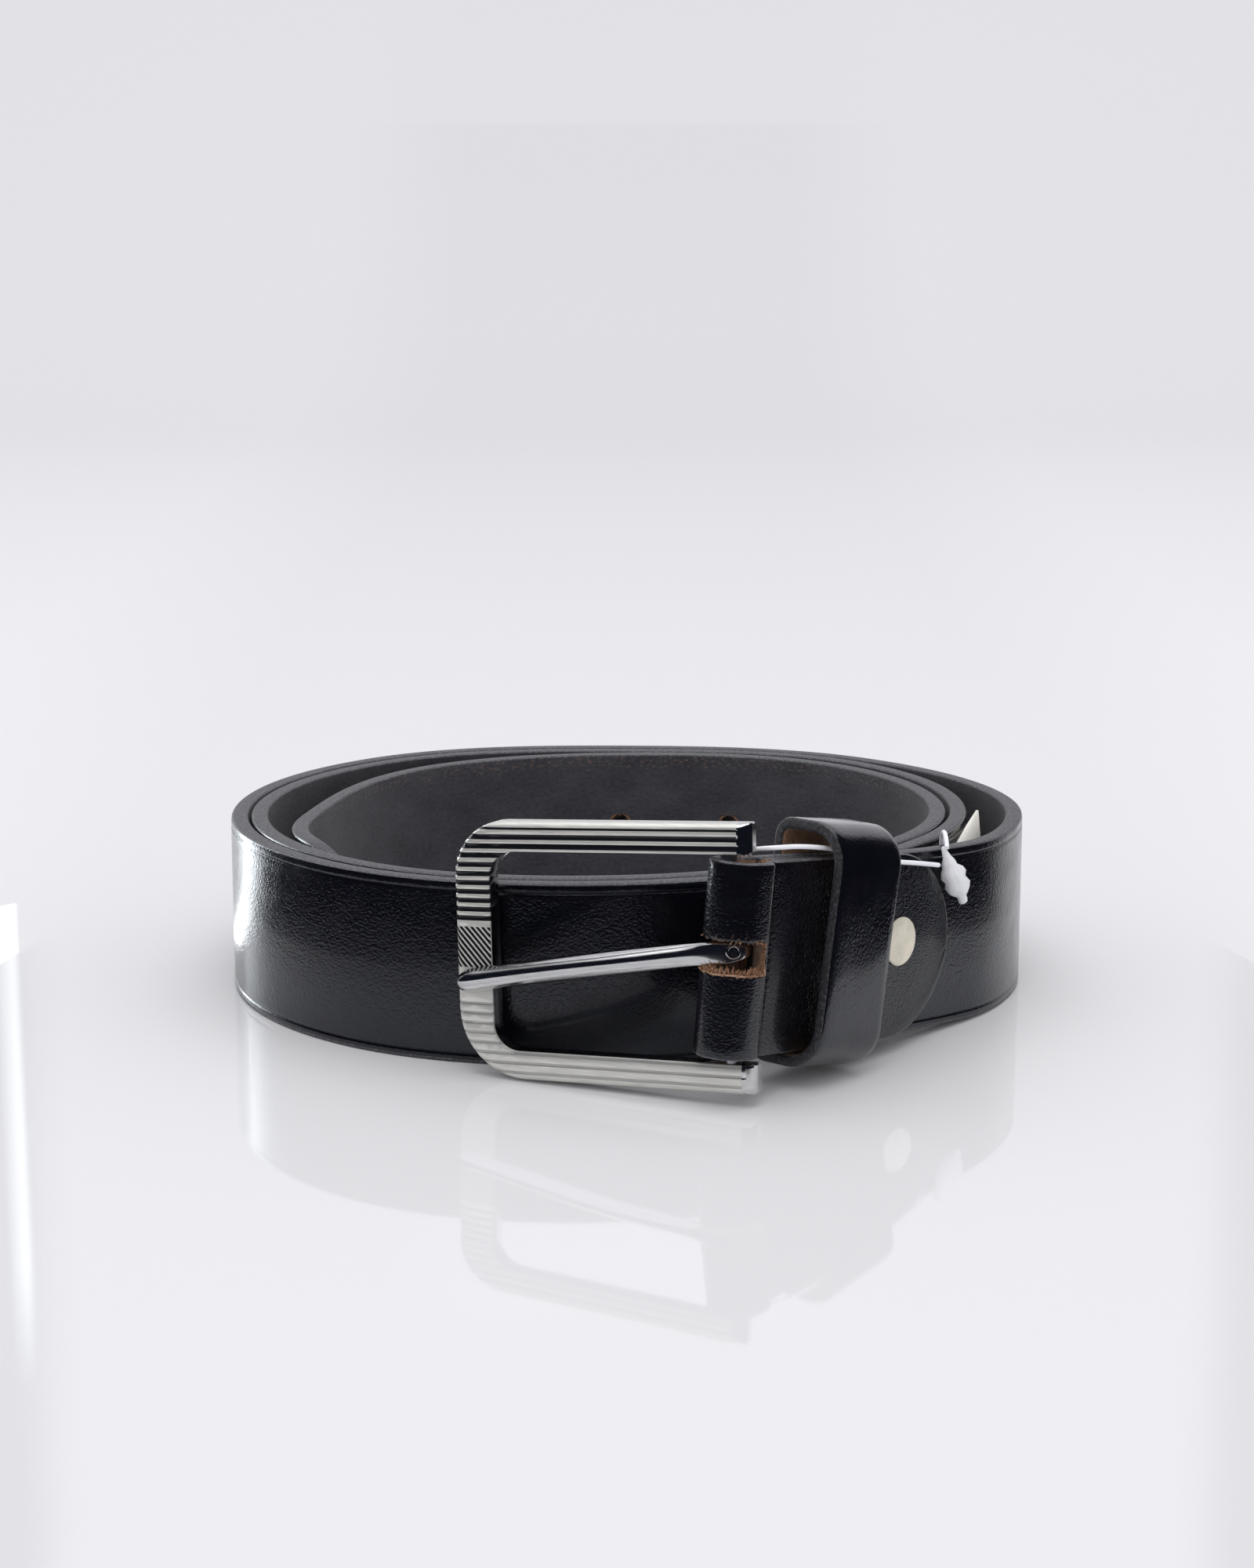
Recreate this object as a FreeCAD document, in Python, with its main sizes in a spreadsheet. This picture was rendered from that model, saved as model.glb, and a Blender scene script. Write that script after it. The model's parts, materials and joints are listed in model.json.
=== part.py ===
"""Coiled leather belt with a three-sided prong buckle, standing on the strap's lower edge.

Millimetres, +Z up.  The strap leaves the buckle at the front right, runs round the back and
ends after almost three turns.  The buckle end of the strap climbs a little and is straight:
its parts are drawn in an end frame (X back along the strap from the heel bar, Y into the coil,
Z across the strap).  The buckle's parts are drawn in a frame of their own about the same
heel bar (X towards the heel, Y into the coil, Z along the bar).
"""
import FreeCAD, Part
import Sketcher
import math
import os
from FreeCAD import Placement, Rotation, Vector

SIZES = (
    ("strap_width", 35.0), ("strap_thick", 3.5), ("strap_start", 6.8), ("tip_length", 26.0),
    ("hole_radius", 2.0), ("hole_pitch", 25.0), ("hole_count", 5), ("tip_to_hole", 144.1),
    ("hole_rise", 1.8),
    ("heel_east", 18.6), ("heel_north", -93.0), ("heel_height", 26.9),
    ("end_yaw", 49.3), ("end_climb", 7.5), ("end_flat", 48.0), ("end_straight", 72.0),
    ("frame_yaw", -23.0), ("frame_tilt", 3.0), ("frame_roll", 3.0),
    ("chape_width", 35.4), ("leg_thick", 2.2), ("crease", 6.6), ("bulge_end", 3.6),
    ("nose_centre", -0.7), ("nose_inside", 3.55), ("flap_centre", 44.3), ("back_leg_end", 53.0),
    ("slot_end", 2.0), ("slot_height", 8.0), ("slot_middle", 1.3),
    ("frame_length", 58.2), ("frame_height", 49.0), ("frame_thick", 4.4), ("frame_opening", 38.0),
    ("bar_width", 7.3), ("heel_reach", 4.5), ("corner_top", 10.0), ("corner_low", 13.0),
    ("corner_inside", 5.0), ("frame_bevel", 1.2),
    ("pin_radius", 1.6), ("pin_length", 45.0), ("pin_slack", 0.1),
    ("prong_ring", 3.4), ("prong_width", 4.1), ("prong_thick", 3.0), ("prong_middle", 1.4),
    ("prong_drop", 7.9), ("prong_reach", 53.0), ("prong_rise", 0.3),
    ("keeper_width", 18.6), ("keeper_thick", 2.2), ("keeper_place", 26.2), ("keeper_lift", 1.4),
    ("keeper_inner_height", 41.0), ("keeper_front", 7.6), ("keeper_back", 4.45),
    ("keeper_round", 5.5), ("keeper_round_back", 1.5), ("keeper_lean", 3.0),
    ("staple_wire", 0.7), ("staple_crown", 9.0), ("staple_leg", 1.6),
    ("rivet_place", 45.9), ("rivet_rise", 1.0), ("rivet_hidden", 29.5), ("rivet_cap", 4.7),
    ("rivet_cap_thick", 0.9), ("rivet_back_radius", 4.2), ("rivet_back_thick", 0.8),
    ("rivet_post", 1.6), ("rivet_slack", 0.05), ("rivet_bore", 1.0),
    ("string_wide", 0.9),
    ("lock_tip", 0.45), ("lock_neck", 1.35), ("lock_bead", 2.5), ("lock_stub", 0.9),
    ("tag_length", 38.0), ("tag_height", 20.0), ("tag_thick", 0.5), ("tag_hole", 2.2),
    ("tag_slope", 18.0),
)

# Middle line of the coil in plan: turning angle from +X in degrees, distance from the middle.
COIL = (
    (-14.5, 78.6), (0, 79.8), (45, 74.8), (90, 67.9), (135, 77.2), (180, 79.7), (225, 76.6),
    (270, 67.9), (315, 65.0), (360, 68.5), (405, 70.4), (450, 63.8), (495, 73.0), (540, 75.7),
    (585, 72.3), (630, 63.5), (675, 60.9), (720, 64.2), (765, 65.2), (810, 59.4), (855, 62.0),
    (900, 63.5), (920, 69.2), (941, 68.5),
)

COIL_STEP = 6.0

# The tip's outline is an ellipse this much longer than wide, cut a little short of its point.
TIP_STRETCH = 1.3
TIP_BLUNT = 0.6

# Route of the tag's string in the end frame: along the strap, out from it, and across it.
STRING = (
    (55.6, 4.6, 15.2), (48.0, 5.4, 16.0), (39.5, 5.6, 16.6), (30.5, 5.5, 18.4),
    (21.5, 4.4, 19.6), (13.0, 3.4, 20.2), (7.4, 2.0, 19.9), (6.0, -1.6, 19.2),
    (8.6, -5.6, 18.0), (15.0, -8.1, 15.4), (24.0, -8.4, 12.8), (33.0, -8.2, 11.2),
    (41.0, -7.8, 9.4), (48.5, -6.5, 8.4), (55.5, -6.0, 6.4), (62.0, -6.3, 5.0),
    (67.0, -3.9, 3.6), (69.6, -2.9, 6.8), (69.0, -2.9, 12.4), (66.6, -2.7, 17.4),
    (63.6, -0.6, 20.9), (60.4, 2.4, 20.6), (58.2, 4.4, 18.4),
)
LOCK_PLACE = Vector(62.7, -49.4, 31.7)
LOCK_AXIS = Vector(-0.36, -0.04, 0.93)
TAG_APEX = Vector(70.9, -9.4, 36.6)
TAG_FAR = Vector(58.0, -42.4, 0.0)

# From the middle of the coil's plan to the middle of the whole belt's footprint.
FOOTPRINT = Vector(-0.1, 15.4, 0)

doc = FreeCAD.newDocument("belt")
sheet = doc.addObject("Spreadsheet::Sheet", "sizes")
for line, (alias, number) in enumerate(SIZES, 1):
    sheet.set("A%d" % line, alias)
    sheet.set("B%d" % line, str(number))
    sheet.setAlias("B%d" % line, alias)
doc.recompute()


def size(alias):
    """The number that the sheet holds under this alias."""
    return float(sheet.get(alias))


HEEL = Vector(size("heel_east"), size("heel_north"), size("heel_height"))
END_TURN = Rotation(Vector(0, 0, 1), size("end_yaw")) * Rotation(Vector(0, 1, 0), size("end_climb"))
END = Placement(HEEL, END_TURN)
FRAME_TURN = (Rotation(Vector(0, 0, 1), size("frame_yaw"))
              * Rotation(Vector(1, 0, 0), -size("frame_tilt"))
              * Rotation(Vector(0, 1, 0), -size("frame_roll")))
FRAME = Placement(HEEL, FRAME_TURN)

nodes = []


def keep(thing, name, place=None):
    """Make this object a sub-part, under its node's name."""
    thing.Label = name
    if place is not None:
        thing.Placement = place
    nodes.append(thing)
    return thing


def bind(thing, sizes):
    """Tie an object's properties to expressions over the sheet."""
    for field, rule in sizes.items():
        thing.setExpression(field, rule)
    return thing


def box(name, length, width, height, corner):
    """A box whose sizes and lowest corner are expressions."""
    block = doc.addObject("Part::Box", name)
    bind(block, {"Length": length, "Width": width, "Height": height})
    for axis, rule in zip("xyz", corner):
        block.setExpression("Placement.Base." + axis, rule)
    return block


def cylinder(name, radius, height, base, axis=None):
    """A cylinder whose radius, height and base point are expressions."""
    rod = doc.addObject("Part::Cylinder", name)
    if axis is not None:
        rod.Placement = Placement(Vector(), Rotation(Vector(0, 0, 1), axis))
    bind(rod, {"Radius": radius, "Height": height})
    for letter, rule in zip("xyz", base):
        rod.setExpression("Placement.Base." + letter, rule)
    return rod


def fuse(name, shapes):
    """One solid from several touching ones."""
    joined = doc.addObject("Part::MultiFuse", name)
    joined.Shapes = shapes
    joined.Refine = True
    return joined


def cut(name, base, tool):
    """What is left of base without tool."""
    rest = doc.addObject("Part::Cut", name)
    rest.Base = base
    rest.Tool = tool
    rest.Refine = True
    return rest


def round_edges(name, base, radius_of, kind="Part::Fillet"):
    """Fillet or chamfer each edge of base for which radius_of gives a size."""
    doc.recompute()
    treated = doc.addObject(kind, name)
    treated.Base = base
    chosen = []
    for number, edge in enumerate(base.Shape.Edges, 1):
        radius = radius_of(edge)
        if radius:
            chosen.append((number, radius, radius))
    treated.Edges = chosen
    return treated


def runs_along(edge, axis):
    """True for a straight edge in the direction of this axis."""
    ends = [vertex.Point for vertex in edge.Vertexes]
    if len(ends) != 2 or not isinstance(edge.Curve, Part.Line):
        return False
    way = (ends[1] - ends[0]).normalize()
    return abs(way.dot(axis)) > 0.999


# ---------------------------------------------------------------- strap

def end_line(along):
    """Point on the strap's middle line in plan, so far from the heel bar on the straight."""
    yaw = math.radians(size("end_yaw"))
    return Vector(HEEL.x + along * math.cos(yaw), HEEL.y + along * math.sin(yaw), 0)


def reach_slopes(knots):
    """How fast the coil's reach changes with the angle at each knot."""
    first_angle, first_reach = knots[0]
    off_round = math.radians(first_angle + 90 - size("end_yaw"))
    slopes = [first_reach * math.tan(off_round) * math.radians(1)]
    for before, here, after in zip(knots, knots[1:], knots[2:]):
        left = (here[1] - before[1]) / (here[0] - before[0])
        right = (after[1] - here[1]) / (after[0] - here[0])
        share = (here[0] - before[0]) / (after[0] - before[0])
        slopes.append(left * (1 - share) + right * share)
    slopes.append((knots[-1][1] - knots[-2][1]) / (knots[-1][0] - knots[-2][0]))
    return slopes


def chord_spline(points):
    """Smooth curve through the points, spaced by the distances between them."""
    places = [0.0]
    for first, second in zip(points, points[1:]):
        places.append(places[-1] + (second - first).Length)
    curve = Part.BSplineCurve()
    curve.interpolate(Points=points, Parameters=places)
    return curve


def coil_line():
    """The curved part of the middle line in plan, from the end of the straight to the tip."""
    start = end_line(size("end_straight"))
    knots = [(math.degrees(math.atan2(start.y, start.x)), start.Length)] + list(COIL)
    slopes = reach_slopes(knots)
    points = []
    for (low, low_reach), (high, high_reach), rise, fall in zip(knots, knots[1:],
                                                              slopes, slopes[1:]):
        span = high - low
        steps = max(2, round(span / COIL_STEP))
        for number in range(steps):
            part = number / steps
            reach = (low_reach * (1 + 2 * part) * (1 - part) ** 2
                     + rise * span * part * (1 - part) ** 2
                     + high_reach * part ** 2 * (3 - 2 * part)
                     + fall * span * part ** 2 * (part - 1))
            turn = math.radians(low + span * part)
            points.append(Vector(reach * math.cos(turn), reach * math.sin(turn), 0))
    turn = math.radians(knots[-1][0])
    points.append(Vector(knots[-1][1] * math.cos(turn), knots[-1][1] * math.sin(turn), 0))
    return chord_spline(points)


CURVE = coil_line()
CURVE_LENGTH = CURVE.length()


def on_line(along):
    """Plan point and direction on the middle line, so far from the heel bar."""
    straight = size("end_straight")
    if along <= straight:
        yaw = math.radians(size("end_yaw"))
        return end_line(along), Vector(math.cos(yaw), math.sin(yaw), 0)
    where = CURVE.parameterAtDistance(along - straight, CURVE.FirstParameter)
    way = CURVE.tangent(where)[0]
    return CURVE.value(where), way.normalize()


def wall_face(start, stop, step):
    """Flat plan outline of the strap between two distances along its middle line."""
    count = max(3, int(math.ceil((stop - start) / step)))
    half = size("strap_thick") / 2
    sides = []
    for side in (-1, 1):
        points = []
        for number in range(count + 1):
            point, way = on_line(start + (stop - start) * number / count)
            points.append(point + Vector(-way.y, way.x, 0) * (half * side))
        sides.append((chord_spline(points).toShape(), points))
    (near, near_points), (far, far_points) = sides
    ends = [Part.makeLine(near_points[0], far_points[0]),
            Part.makeLine(near_points[-1], far_points[-1])]
    return Part.Face(Part.Wire(Part.__sortEdges__([near, far] + ends)))


def cross_section(along, height, climb):
    """The strap's end-on rectangle where it climbs by this angle."""
    point, way = on_line(along)
    side = Vector(-way.y, way.x, 0)
    up = Vector(way.x * math.sin(climb), way.y * math.sin(climb), math.cos(climb))
    half_thick = side * (size("strap_thick") / 2)
    half_wide = up * (size("strap_width") / 2)
    middle = Vector(point.x, point.y, height)
    corners = [middle + half_thick + half_wide, middle - half_thick + half_wide,
               middle - half_thick - half_wide, middle + half_thick - half_wide]
    return Part.makePolygon(corners + corners[:1])


def strap_solid():
    """The whole strap: climbing end, coil and rounded tip, with its holes."""
    width = size("strap_width")
    thick = size("strap_thick")
    climb = math.radians(size("end_climb"))
    flat = size("end_flat")
    end_block = Part.makeBox(flat - size("strap_start"), thick, width,
                             Vector(size("strap_start"), -thick / 2, -width / 2))
    end_block.Placement = END

    level = width / 2
    low = HEEL.z - flat * math.sin(climb)
    easing = 2 * (low - level) / math.sin(climb)
    start = flat * math.cos(climb)
    sections = []
    steps = 8
    for number in range(steps + 1):
        part = number / steps
        height = low - math.sin(climb) * easing * (part - part * part / 2)
        sections.append(cross_section(start + easing * part, height, climb * (1 - part)))
    twist = Part.makeLoft(sections, True, False)

    total = size("end_straight") + CURVE_LENGTH
    tip_start = total - size("tip_length")
    coil = wall_face(start + easing, tip_start, 11.0).extrude(Vector(0, 0, width))
    tip = wall_face(tip_start, total, 4.0).extrude(Vector(0, 0, width))
    point, way = on_line(tip_start + size("tip_length") / 2)
    side = Vector(-way.y, way.x, 0)
    reach = size("tip_length") * TIP_BLUNT
    nose = Part.makeCylinder(width / 2, 30, Vector(), Vector(0, 1, 0))
    stretch = FreeCAD.Matrix()
    stretch.scale(TIP_STRETCH, 1, 1)
    nose = nose.transformGeometry(stretch)
    body = Part.makeBox(60, 30, width, Vector(-60, 0, -width / 2))
    outline = body.fuse(nose)
    turn = Rotation(way, side, Vector(0, 0, 1), "ZXY")
    base = point + way * (reach - width / 2 * TIP_STRETCH) - side * 15 + Vector(0, 0, level)
    outline.Placement = Placement(base, turn)
    tip = tip.common(outline).Solids[0]
    solid = end_block.fuse([twist, coil, tip])

    for number in range(int(size("hole_count"))):
        along = total - size("tip_to_hole") - number * size("hole_pitch")
        point, way = on_line(along)
        side = Vector(-way.y, way.x, 0)
        start_point = Vector(point.x, point.y, level + size("hole_rise")) - side * (thick / 2 + 0.4)
        solid = solid.cut(Part.makeCylinder(size("hole_radius"), thick + 0.8, start_point, side))
    for place in (size("rivet_place"), size("rivet_hidden")):
        hole = Part.makeCylinder(size("rivet_post") + size("rivet_slack"), thick + 2,
                                 Vector(place, -thick / 2 - 1, size("rivet_rise")),
                                 Vector(0, 1, 0))
        hole.Placement = END * hole.Placement
        solid = solid.cut(hole)
    return solid


strap = doc.addObject("Part::Feature", "strap")
strap.Shape = strap_solid()
keep(strap, "strap")

# ---------------------------------------------------------------- chape: the folded tab

HALF_STRAP = "sizes.strap_thick / 2"
LEG_OUT = "(sizes.strap_thick / 2 + sizes.leg_thick)"
NOSE_OUT = "(sizes.nose_inside + sizes.leg_thick)"
LOW = "-sizes.chape_width / 2"


def fold_profile(name, nose_radius, leg_reach):
    """Solid of a fold's outline across the heel bar: round nose, flat sides, tapered throat."""
    shape = doc.addObject("Part::Feature", name)
    half = size("chape_width") / 2
    centre, bulge, crease = size("nose_centre"), size("bulge_end"), size("crease")
    corners = [Vector(centre, nose_radius, -half), Vector(bulge, nose_radius, -half),
               Vector(crease, leg_reach, -half), Vector(crease, -leg_reach, -half),
               Vector(bulge, -nose_radius, -half), Vector(centre, -nose_radius, -half)]
    edges = [Part.makeLine(first, second) for first, second in zip(corners, corners[1:])]
    edges.append(Part.Arc(corners[-1], Vector(centre - nose_radius, 0, -half),
                          corners[0]).toShape())
    shape.Shape = Part.Face(Part.Wire(edges)).extrude(Vector(0, 0, 2 * half))
    return shape


front_leg = box("front_leg", "sizes.flap_centre - sizes.crease", "sizes.leg_thick",
                "sizes.chape_width", ("sizes.crease", "-" + LEG_OUT, LOW))
flap = cylinder("flap", "sizes.chape_width / 2", "sizes.leg_thick",
                ("sizes.flap_centre", "-" + LEG_OUT, "0"), Vector(0, 1, 0))
back_leg = box("back_leg", "sizes.back_leg_end - sizes.crease", "sizes.leg_thick",
               "sizes.chape_width", ("sizes.crease", HALF_STRAP, LOW))
leg_reach = size("strap_thick") / 2 + size("leg_thick")
fold = fold_profile("fold", size("nose_inside") + size("leg_thick"), leg_reach)
fold_space = fold_profile("fold_space", size("nose_inside"), size("strap_thick") / 2)
slot = box("slot", "sizes.slot_end + 20", "20", "sizes.slot_height",
           ("-20", "-10", "sizes.slot_middle - sizes.slot_height / 2"))
rivet_holes = []
for number, place in enumerate(("sizes.rivet_place", "sizes.rivet_hidden"), 1):
    rivet_holes.append(cylinder("chape_hole_%d" % number, "sizes.rivet_post + sizes.rivet_slack",
                                "20", (place, "-10", "sizes.rivet_rise"), Vector(0, 1, 0)))
recess = cylinder("recess", "sizes.rivet_back_radius + sizes.rivet_slack", "sizes.rivet_back_thick",
                  ("sizes.rivet_hidden", LEG_OUT + " - sizes.rivet_back_thick", "sizes.rivet_rise"),
                  Vector(0, 1, 0))
leather = fuse("chape_leather", [front_leg, flap, back_leg, fold])
chape_space = fuse("chape_space", [fold_space, slot, recess] + rivet_holes)
keep(cut("chape", leather, chape_space), "chape", END)

# ---------------------------------------------------------------- buckle frame, heel bar, prong

LEFT = "sizes.heel_reach - sizes.frame_length"
plate = box("plate", "sizes.frame_length", "sizes.frame_thick", "sizes.frame_height",
            (LEFT, "-sizes.frame_thick / 2", "-sizes.frame_height / 2"))
window = box("window", "sizes.frame_length", "sizes.frame_thick + 2", "sizes.frame_opening",
             (LEFT + " + sizes.bar_width", "-sizes.frame_thick / 2 - 1",
              "-sizes.frame_opening / 2"))


def outer_corner(edge):
    """Large radii on the two corners away from the heel."""
    middle = edge.CenterOfMass
    if not runs_along(edge, Vector(0, 1, 0)) or middle.x > 0:
        return None
    return size("corner_top") if middle.z > 0 else size("corner_low")


def inner_corner(edge):
    """The window's corners away from the heel."""
    if not runs_along(edge, Vector(0, 1, 0)) or edge.CenterOfMass.x > 0:
        return None
    return size("corner_inside")


def front_rim(edge):
    """The outer edge of the frame's face."""
    if edge.CenterOfMass.y > -size("frame_thick") / 2 + 0.01 or edge.BoundBox.YLength > 0.01:
        return None
    inside = abs(edge.CenterOfMass.z) < size("frame_opening") / 2 + 1.0
    if inside and edge.CenterOfMass.x > -size("frame_length") + size("heel_reach") + 1.5:
        return None
    return size("frame_bevel")


round_plate = round_edges("round_plate", plate, outer_corner)
round_window = round_edges("round_window", window, inner_corner)
flat_frame = cut("flat_frame", round_plate, round_window)
bevelled = round_edges("bevelled", flat_frame, front_rim, "Part::Chamfer")
pin_hole = cylinder("pin_hole", "sizes.pin_radius", "sizes.pin_length",
                    ("0", "0", "-sizes.pin_length / 2"))
keep(cut("buckle_frame", bevelled, pin_hole), "buckle_frame", FRAME)

heel_bar = bind(doc.addObject("Part::Cylinder", "heel_bar"),
                {"Radius": "sizes.pin_radius", "Height": "sizes.pin_length"})
keep(heel_bar, "heel_bar", FRAME * Placement(Vector(0, 0, -size("pin_length") / 2), Rotation()))


def prong_solid():
    """A ring on the heel bar with a half-round shank that rests on the frame's far bar."""
    ring_low = size("prong_middle") - size("prong_width") / 2
    ring = Part.makeCylinder(size("prong_ring"), size("prong_width"), Vector(0, 0, ring_low))
    front = size("frame_thick") / 2 + size("prong_rise")
    reach = size("prong_reach")
    sections = []
    for part in (0.0, 0.06, 0.2, 0.45, 0.7, 0.88, 0.97, 1.0):
        along = -1.0 - (reach - 1.0) * part
        middle = size("prong_middle") - size("prong_drop") * part
        wide = size("prong_width") * (1.0 + 0.1 * part)
        back = 0.9 + (front - 0.9) * min(1.0, part / 0.45)
        thick = (size("prong_ring") - 0.9) * (1 - part) + size("prong_thick") * part
        if part > 0.9:
            thick = thick * (1.0 - 3.2 * (part - 0.9))
        low = Vector(along, -back, middle - wide / 2)
        crown = Vector(along, -back - thick, middle)
        high = Vector(along, -back, middle + wide / 2)
        sections.append(Part.Wire([Part.Arc(low, crown, high).toShape(),
                                   Part.makeLine(high, low)]))
    shank = Part.makeLoft(sections, True, False)
    bore = Part.makeCylinder(size("pin_radius") + size("pin_slack"), 20, Vector(0, 0, -10))
    return ring.fuse(shank).cut(bore)


prong = doc.addObject("Part::Feature", "prong")
prong.Shape = prong_solid()
keep(prong, "prong", FRAME)

# ---------------------------------------------------------------- keeper

KEEPER_HIGH = "sizes.keeper_inner_height"
KEEPER_DEEP = "sizes.keeper_front + sizes.keeper_back"
loop_out = box("loop_out", "sizes.keeper_width", KEEPER_DEEP + " + 2 * sizes.keeper_thick",
               KEEPER_HIGH + " + 2 * sizes.keeper_thick",
               ("-sizes.keeper_width / 2", "-sizes.keeper_front - sizes.keeper_thick",
                "-sizes.keeper_inner_height / 2 - sizes.keeper_thick"))
loop_in = box("loop_in", "sizes.keeper_width + 2", KEEPER_DEEP, KEEPER_HIGH,
              ("-sizes.keeper_width / 2 - 1", "-sizes.keeper_front",
               "-sizes.keeper_inner_height / 2"))


def keeper_corner(extra):
    """Radius rule for the keeper's long edges: generous outside the belt, tighter behind."""
    def rule(edge):
        if not runs_along(edge, Vector(1, 0, 0)):
            return None
        radius = "keeper_round" if edge.CenterOfMass.y < 0 else "keeper_round_back"
        return size(radius) + extra
    return rule


round_out = round_edges("round_out", loop_out, keeper_corner(size("keeper_thick")))
round_in = round_edges("round_in", loop_in, keeper_corner(0.0))
KEEPER = END * Placement(Vector(size("keeper_place"), 0, size("keeper_lift")),
                         Rotation(Vector(0, 1, 0), size("keeper_lean")))
keep(cut("keeper", round_out, round_in), "keeper", KEEPER)

STAPLE_BACK = "sizes.keeper_back + sizes.keeper_thick"
crown = box("crown", "sizes.staple_crown", "sizes.staple_wire", "sizes.staple_wire",
            ("-sizes.staple_crown / 2", STAPLE_BACK, "-sizes.staple_wire / 2"))
staple_legs = []
for number, side in enumerate(("-sizes.staple_crown / 2",
                               "sizes.staple_crown / 2 - sizes.staple_wire"), 1):
    staple_legs.append(box("staple_leg_%d" % number, "sizes.staple_wire", "sizes.staple_leg",
                           "sizes.staple_wire",
                           (side, STAPLE_BACK + " - sizes.staple_leg", "-sizes.staple_wire / 2")))
keep(fuse("keeper_staple", [crown] + staple_legs), "keeper_staple", KEEPER)

# ---------------------------------------------------------------- rivets

# The flap's rivet has its back proud of the leather; the hidden one's is sunk under the keeper.
for name, place, sunk in (("flap", "sizes.rivet_place", "0"),
                          ("hidden", "sizes.rivet_hidden", "sizes.rivet_back_thick")):
    seat = "(" + LEG_OUT + " - " + sunk + ")"
    cap = cylinder("cap_" + name, "sizes.rivet_cap", "sizes.rivet_cap_thick",
                   (place, "-" + LEG_OUT + " - sizes.rivet_cap_thick", "sizes.rivet_rise"),
                   Vector(0, 1, 0))
    post = cylinder("post_" + name, "sizes.rivet_post", LEG_OUT + " + " + seat,
                    (place, "-" + LEG_OUT, "sizes.rivet_rise"), Vector(0, 1, 0))
    keep(fuse("rivet_" + name, [cap, post]), "rivet_cap_" + name, END)
    disc = cylinder("disc_" + name, "sizes.rivet_back_radius", "sizes.rivet_back_thick",
                    (place, seat, "sizes.rivet_rise"), Vector(0, 1, 0))
    dimple = cylinder("dimple_" + name, "sizes.rivet_bore", "sizes.rivet_back_thick",
                      (place, seat + " + sizes.rivet_back_thick / 2", "sizes.rivet_rise"),
                      Vector(0, 1, 0))
    keep(cut("back_" + name, disc, dimple), "rivet_back_" + name, END)

# ---------------------------------------------------------------- tag string, lock and tag

def string_solid():
    """A tube along straight runs joined by tangent arcs, from the lock round to the lock."""
    points = [END.multVec(Vector(along, -out, across)) for along, out, across in STRING]
    radii = []
    edges = []
    previous = points[0]
    for before, here, after in zip(points, points[1:], points[2:]):
        into = (here - before).normalize()
        away = (after - here).normalize()
        turn = math.acos(max(-1.0, min(1.0, into.dot(away))))
        shorter = min((here - before).Length, (after - here).Length)
        radius = 0.45 * shorter / math.tan(turn / 2)
        radii.append(radius)
        trim = 0.45 * shorter
        first = here - into * trim
        last = here + away * trim
        bisector = (away - into).normalize()
        centre = here + bisector * (radius / math.cos(turn / 2))
        edges.append(Part.makeLine(previous, first))
        edges.append(Part.Arc(first, centre - bisector * radius, last).toShape())
        previous = last
    edges.append(Part.makeLine(previous, points[-1]))
    path = Part.Wire(edges)
    way = (points[1] - points[0]).normalize()
    ring = Part.Wire(Part.makeCircle(size("string_wide") / 2, points[0], way))
    tube = path.makePipeShell([ring], True, True)
    ratio = tube.Volume / (math.pi * (size("string_wide") / 2) ** 2 * path.Length)
    print("string length %.1f, smallest radius %.1f, volume ratio %.4f"
          % (path.Length, min(radii), ratio))
    return tube


tag_string = doc.addObject("Part::Feature", "tag_string")
tag_string.Shape = string_solid()
keep(tag_string, "tag_string")


def lock_body():
    """Turned lock head: a spike above, a collar, a round bead and a short stub below."""
    body = doc.addObject("PartDesign::Body", "tag_lock")
    sketch = body.newObject("Sketcher::SketchObject", "lock_profile")
    plane = [item for item in body.Origin.OriginFeatures if item.Role == "XZ_Plane"][0]
    sketch.AttachmentSupport = (plane, [""])
    sketch.MapMode = "FlatFace"
    rims = (("lock_stub", -5.6), ("lock_stub", -4.0), ("lock_bead", -2.4), ("lock_bead", 0.8),
            ("lock_neck", 2.6), ("lock_neck", 4.2), ("lock_tip", 6.0))
    corners = [(0.0, rims[0][1])] + [(size(alias), rise) for alias, rise in rims]
    corners.append((0.0, rims[-1][1]))
    count = len(corners)
    for first, second in zip(corners, corners[1:] + corners[:1]):
        sketch.addGeometry(Part.LineSegment(Vector(first[0], first[1], 0),
                                            Vector(second[0], second[1], 0)), False)
    constraint = Sketcher.Constraint
    for number in range(count):
        sketch.addConstraint(constraint("Coincident", number, 2, (number + 1) % count, 1))
    for number, (across, rise) in enumerate(corners):
        place = sketch.addConstraint(constraint("DistanceX", -1, 1, number, 1, across))
        if 0 < number <= len(rims):
            sketch.setExpression("Constraints[%d]" % place, "sizes." + rims[number - 1][0])
        sketch.addConstraint(constraint("DistanceY", -1, 1, number, 1, rise))
    turned = body.newObject("PartDesign::Revolution", "lock_turned")
    turned.Profile = sketch
    turned.ReferenceAxis = (sketch, ["V_Axis"])
    turned.Angle = 360
    return body


lock = keep(lock_body(), "tag_lock")
lock.Placement = Placement(LOCK_PLACE, Rotation(Vector(0, 0, 1), LOCK_AXIS))

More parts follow.
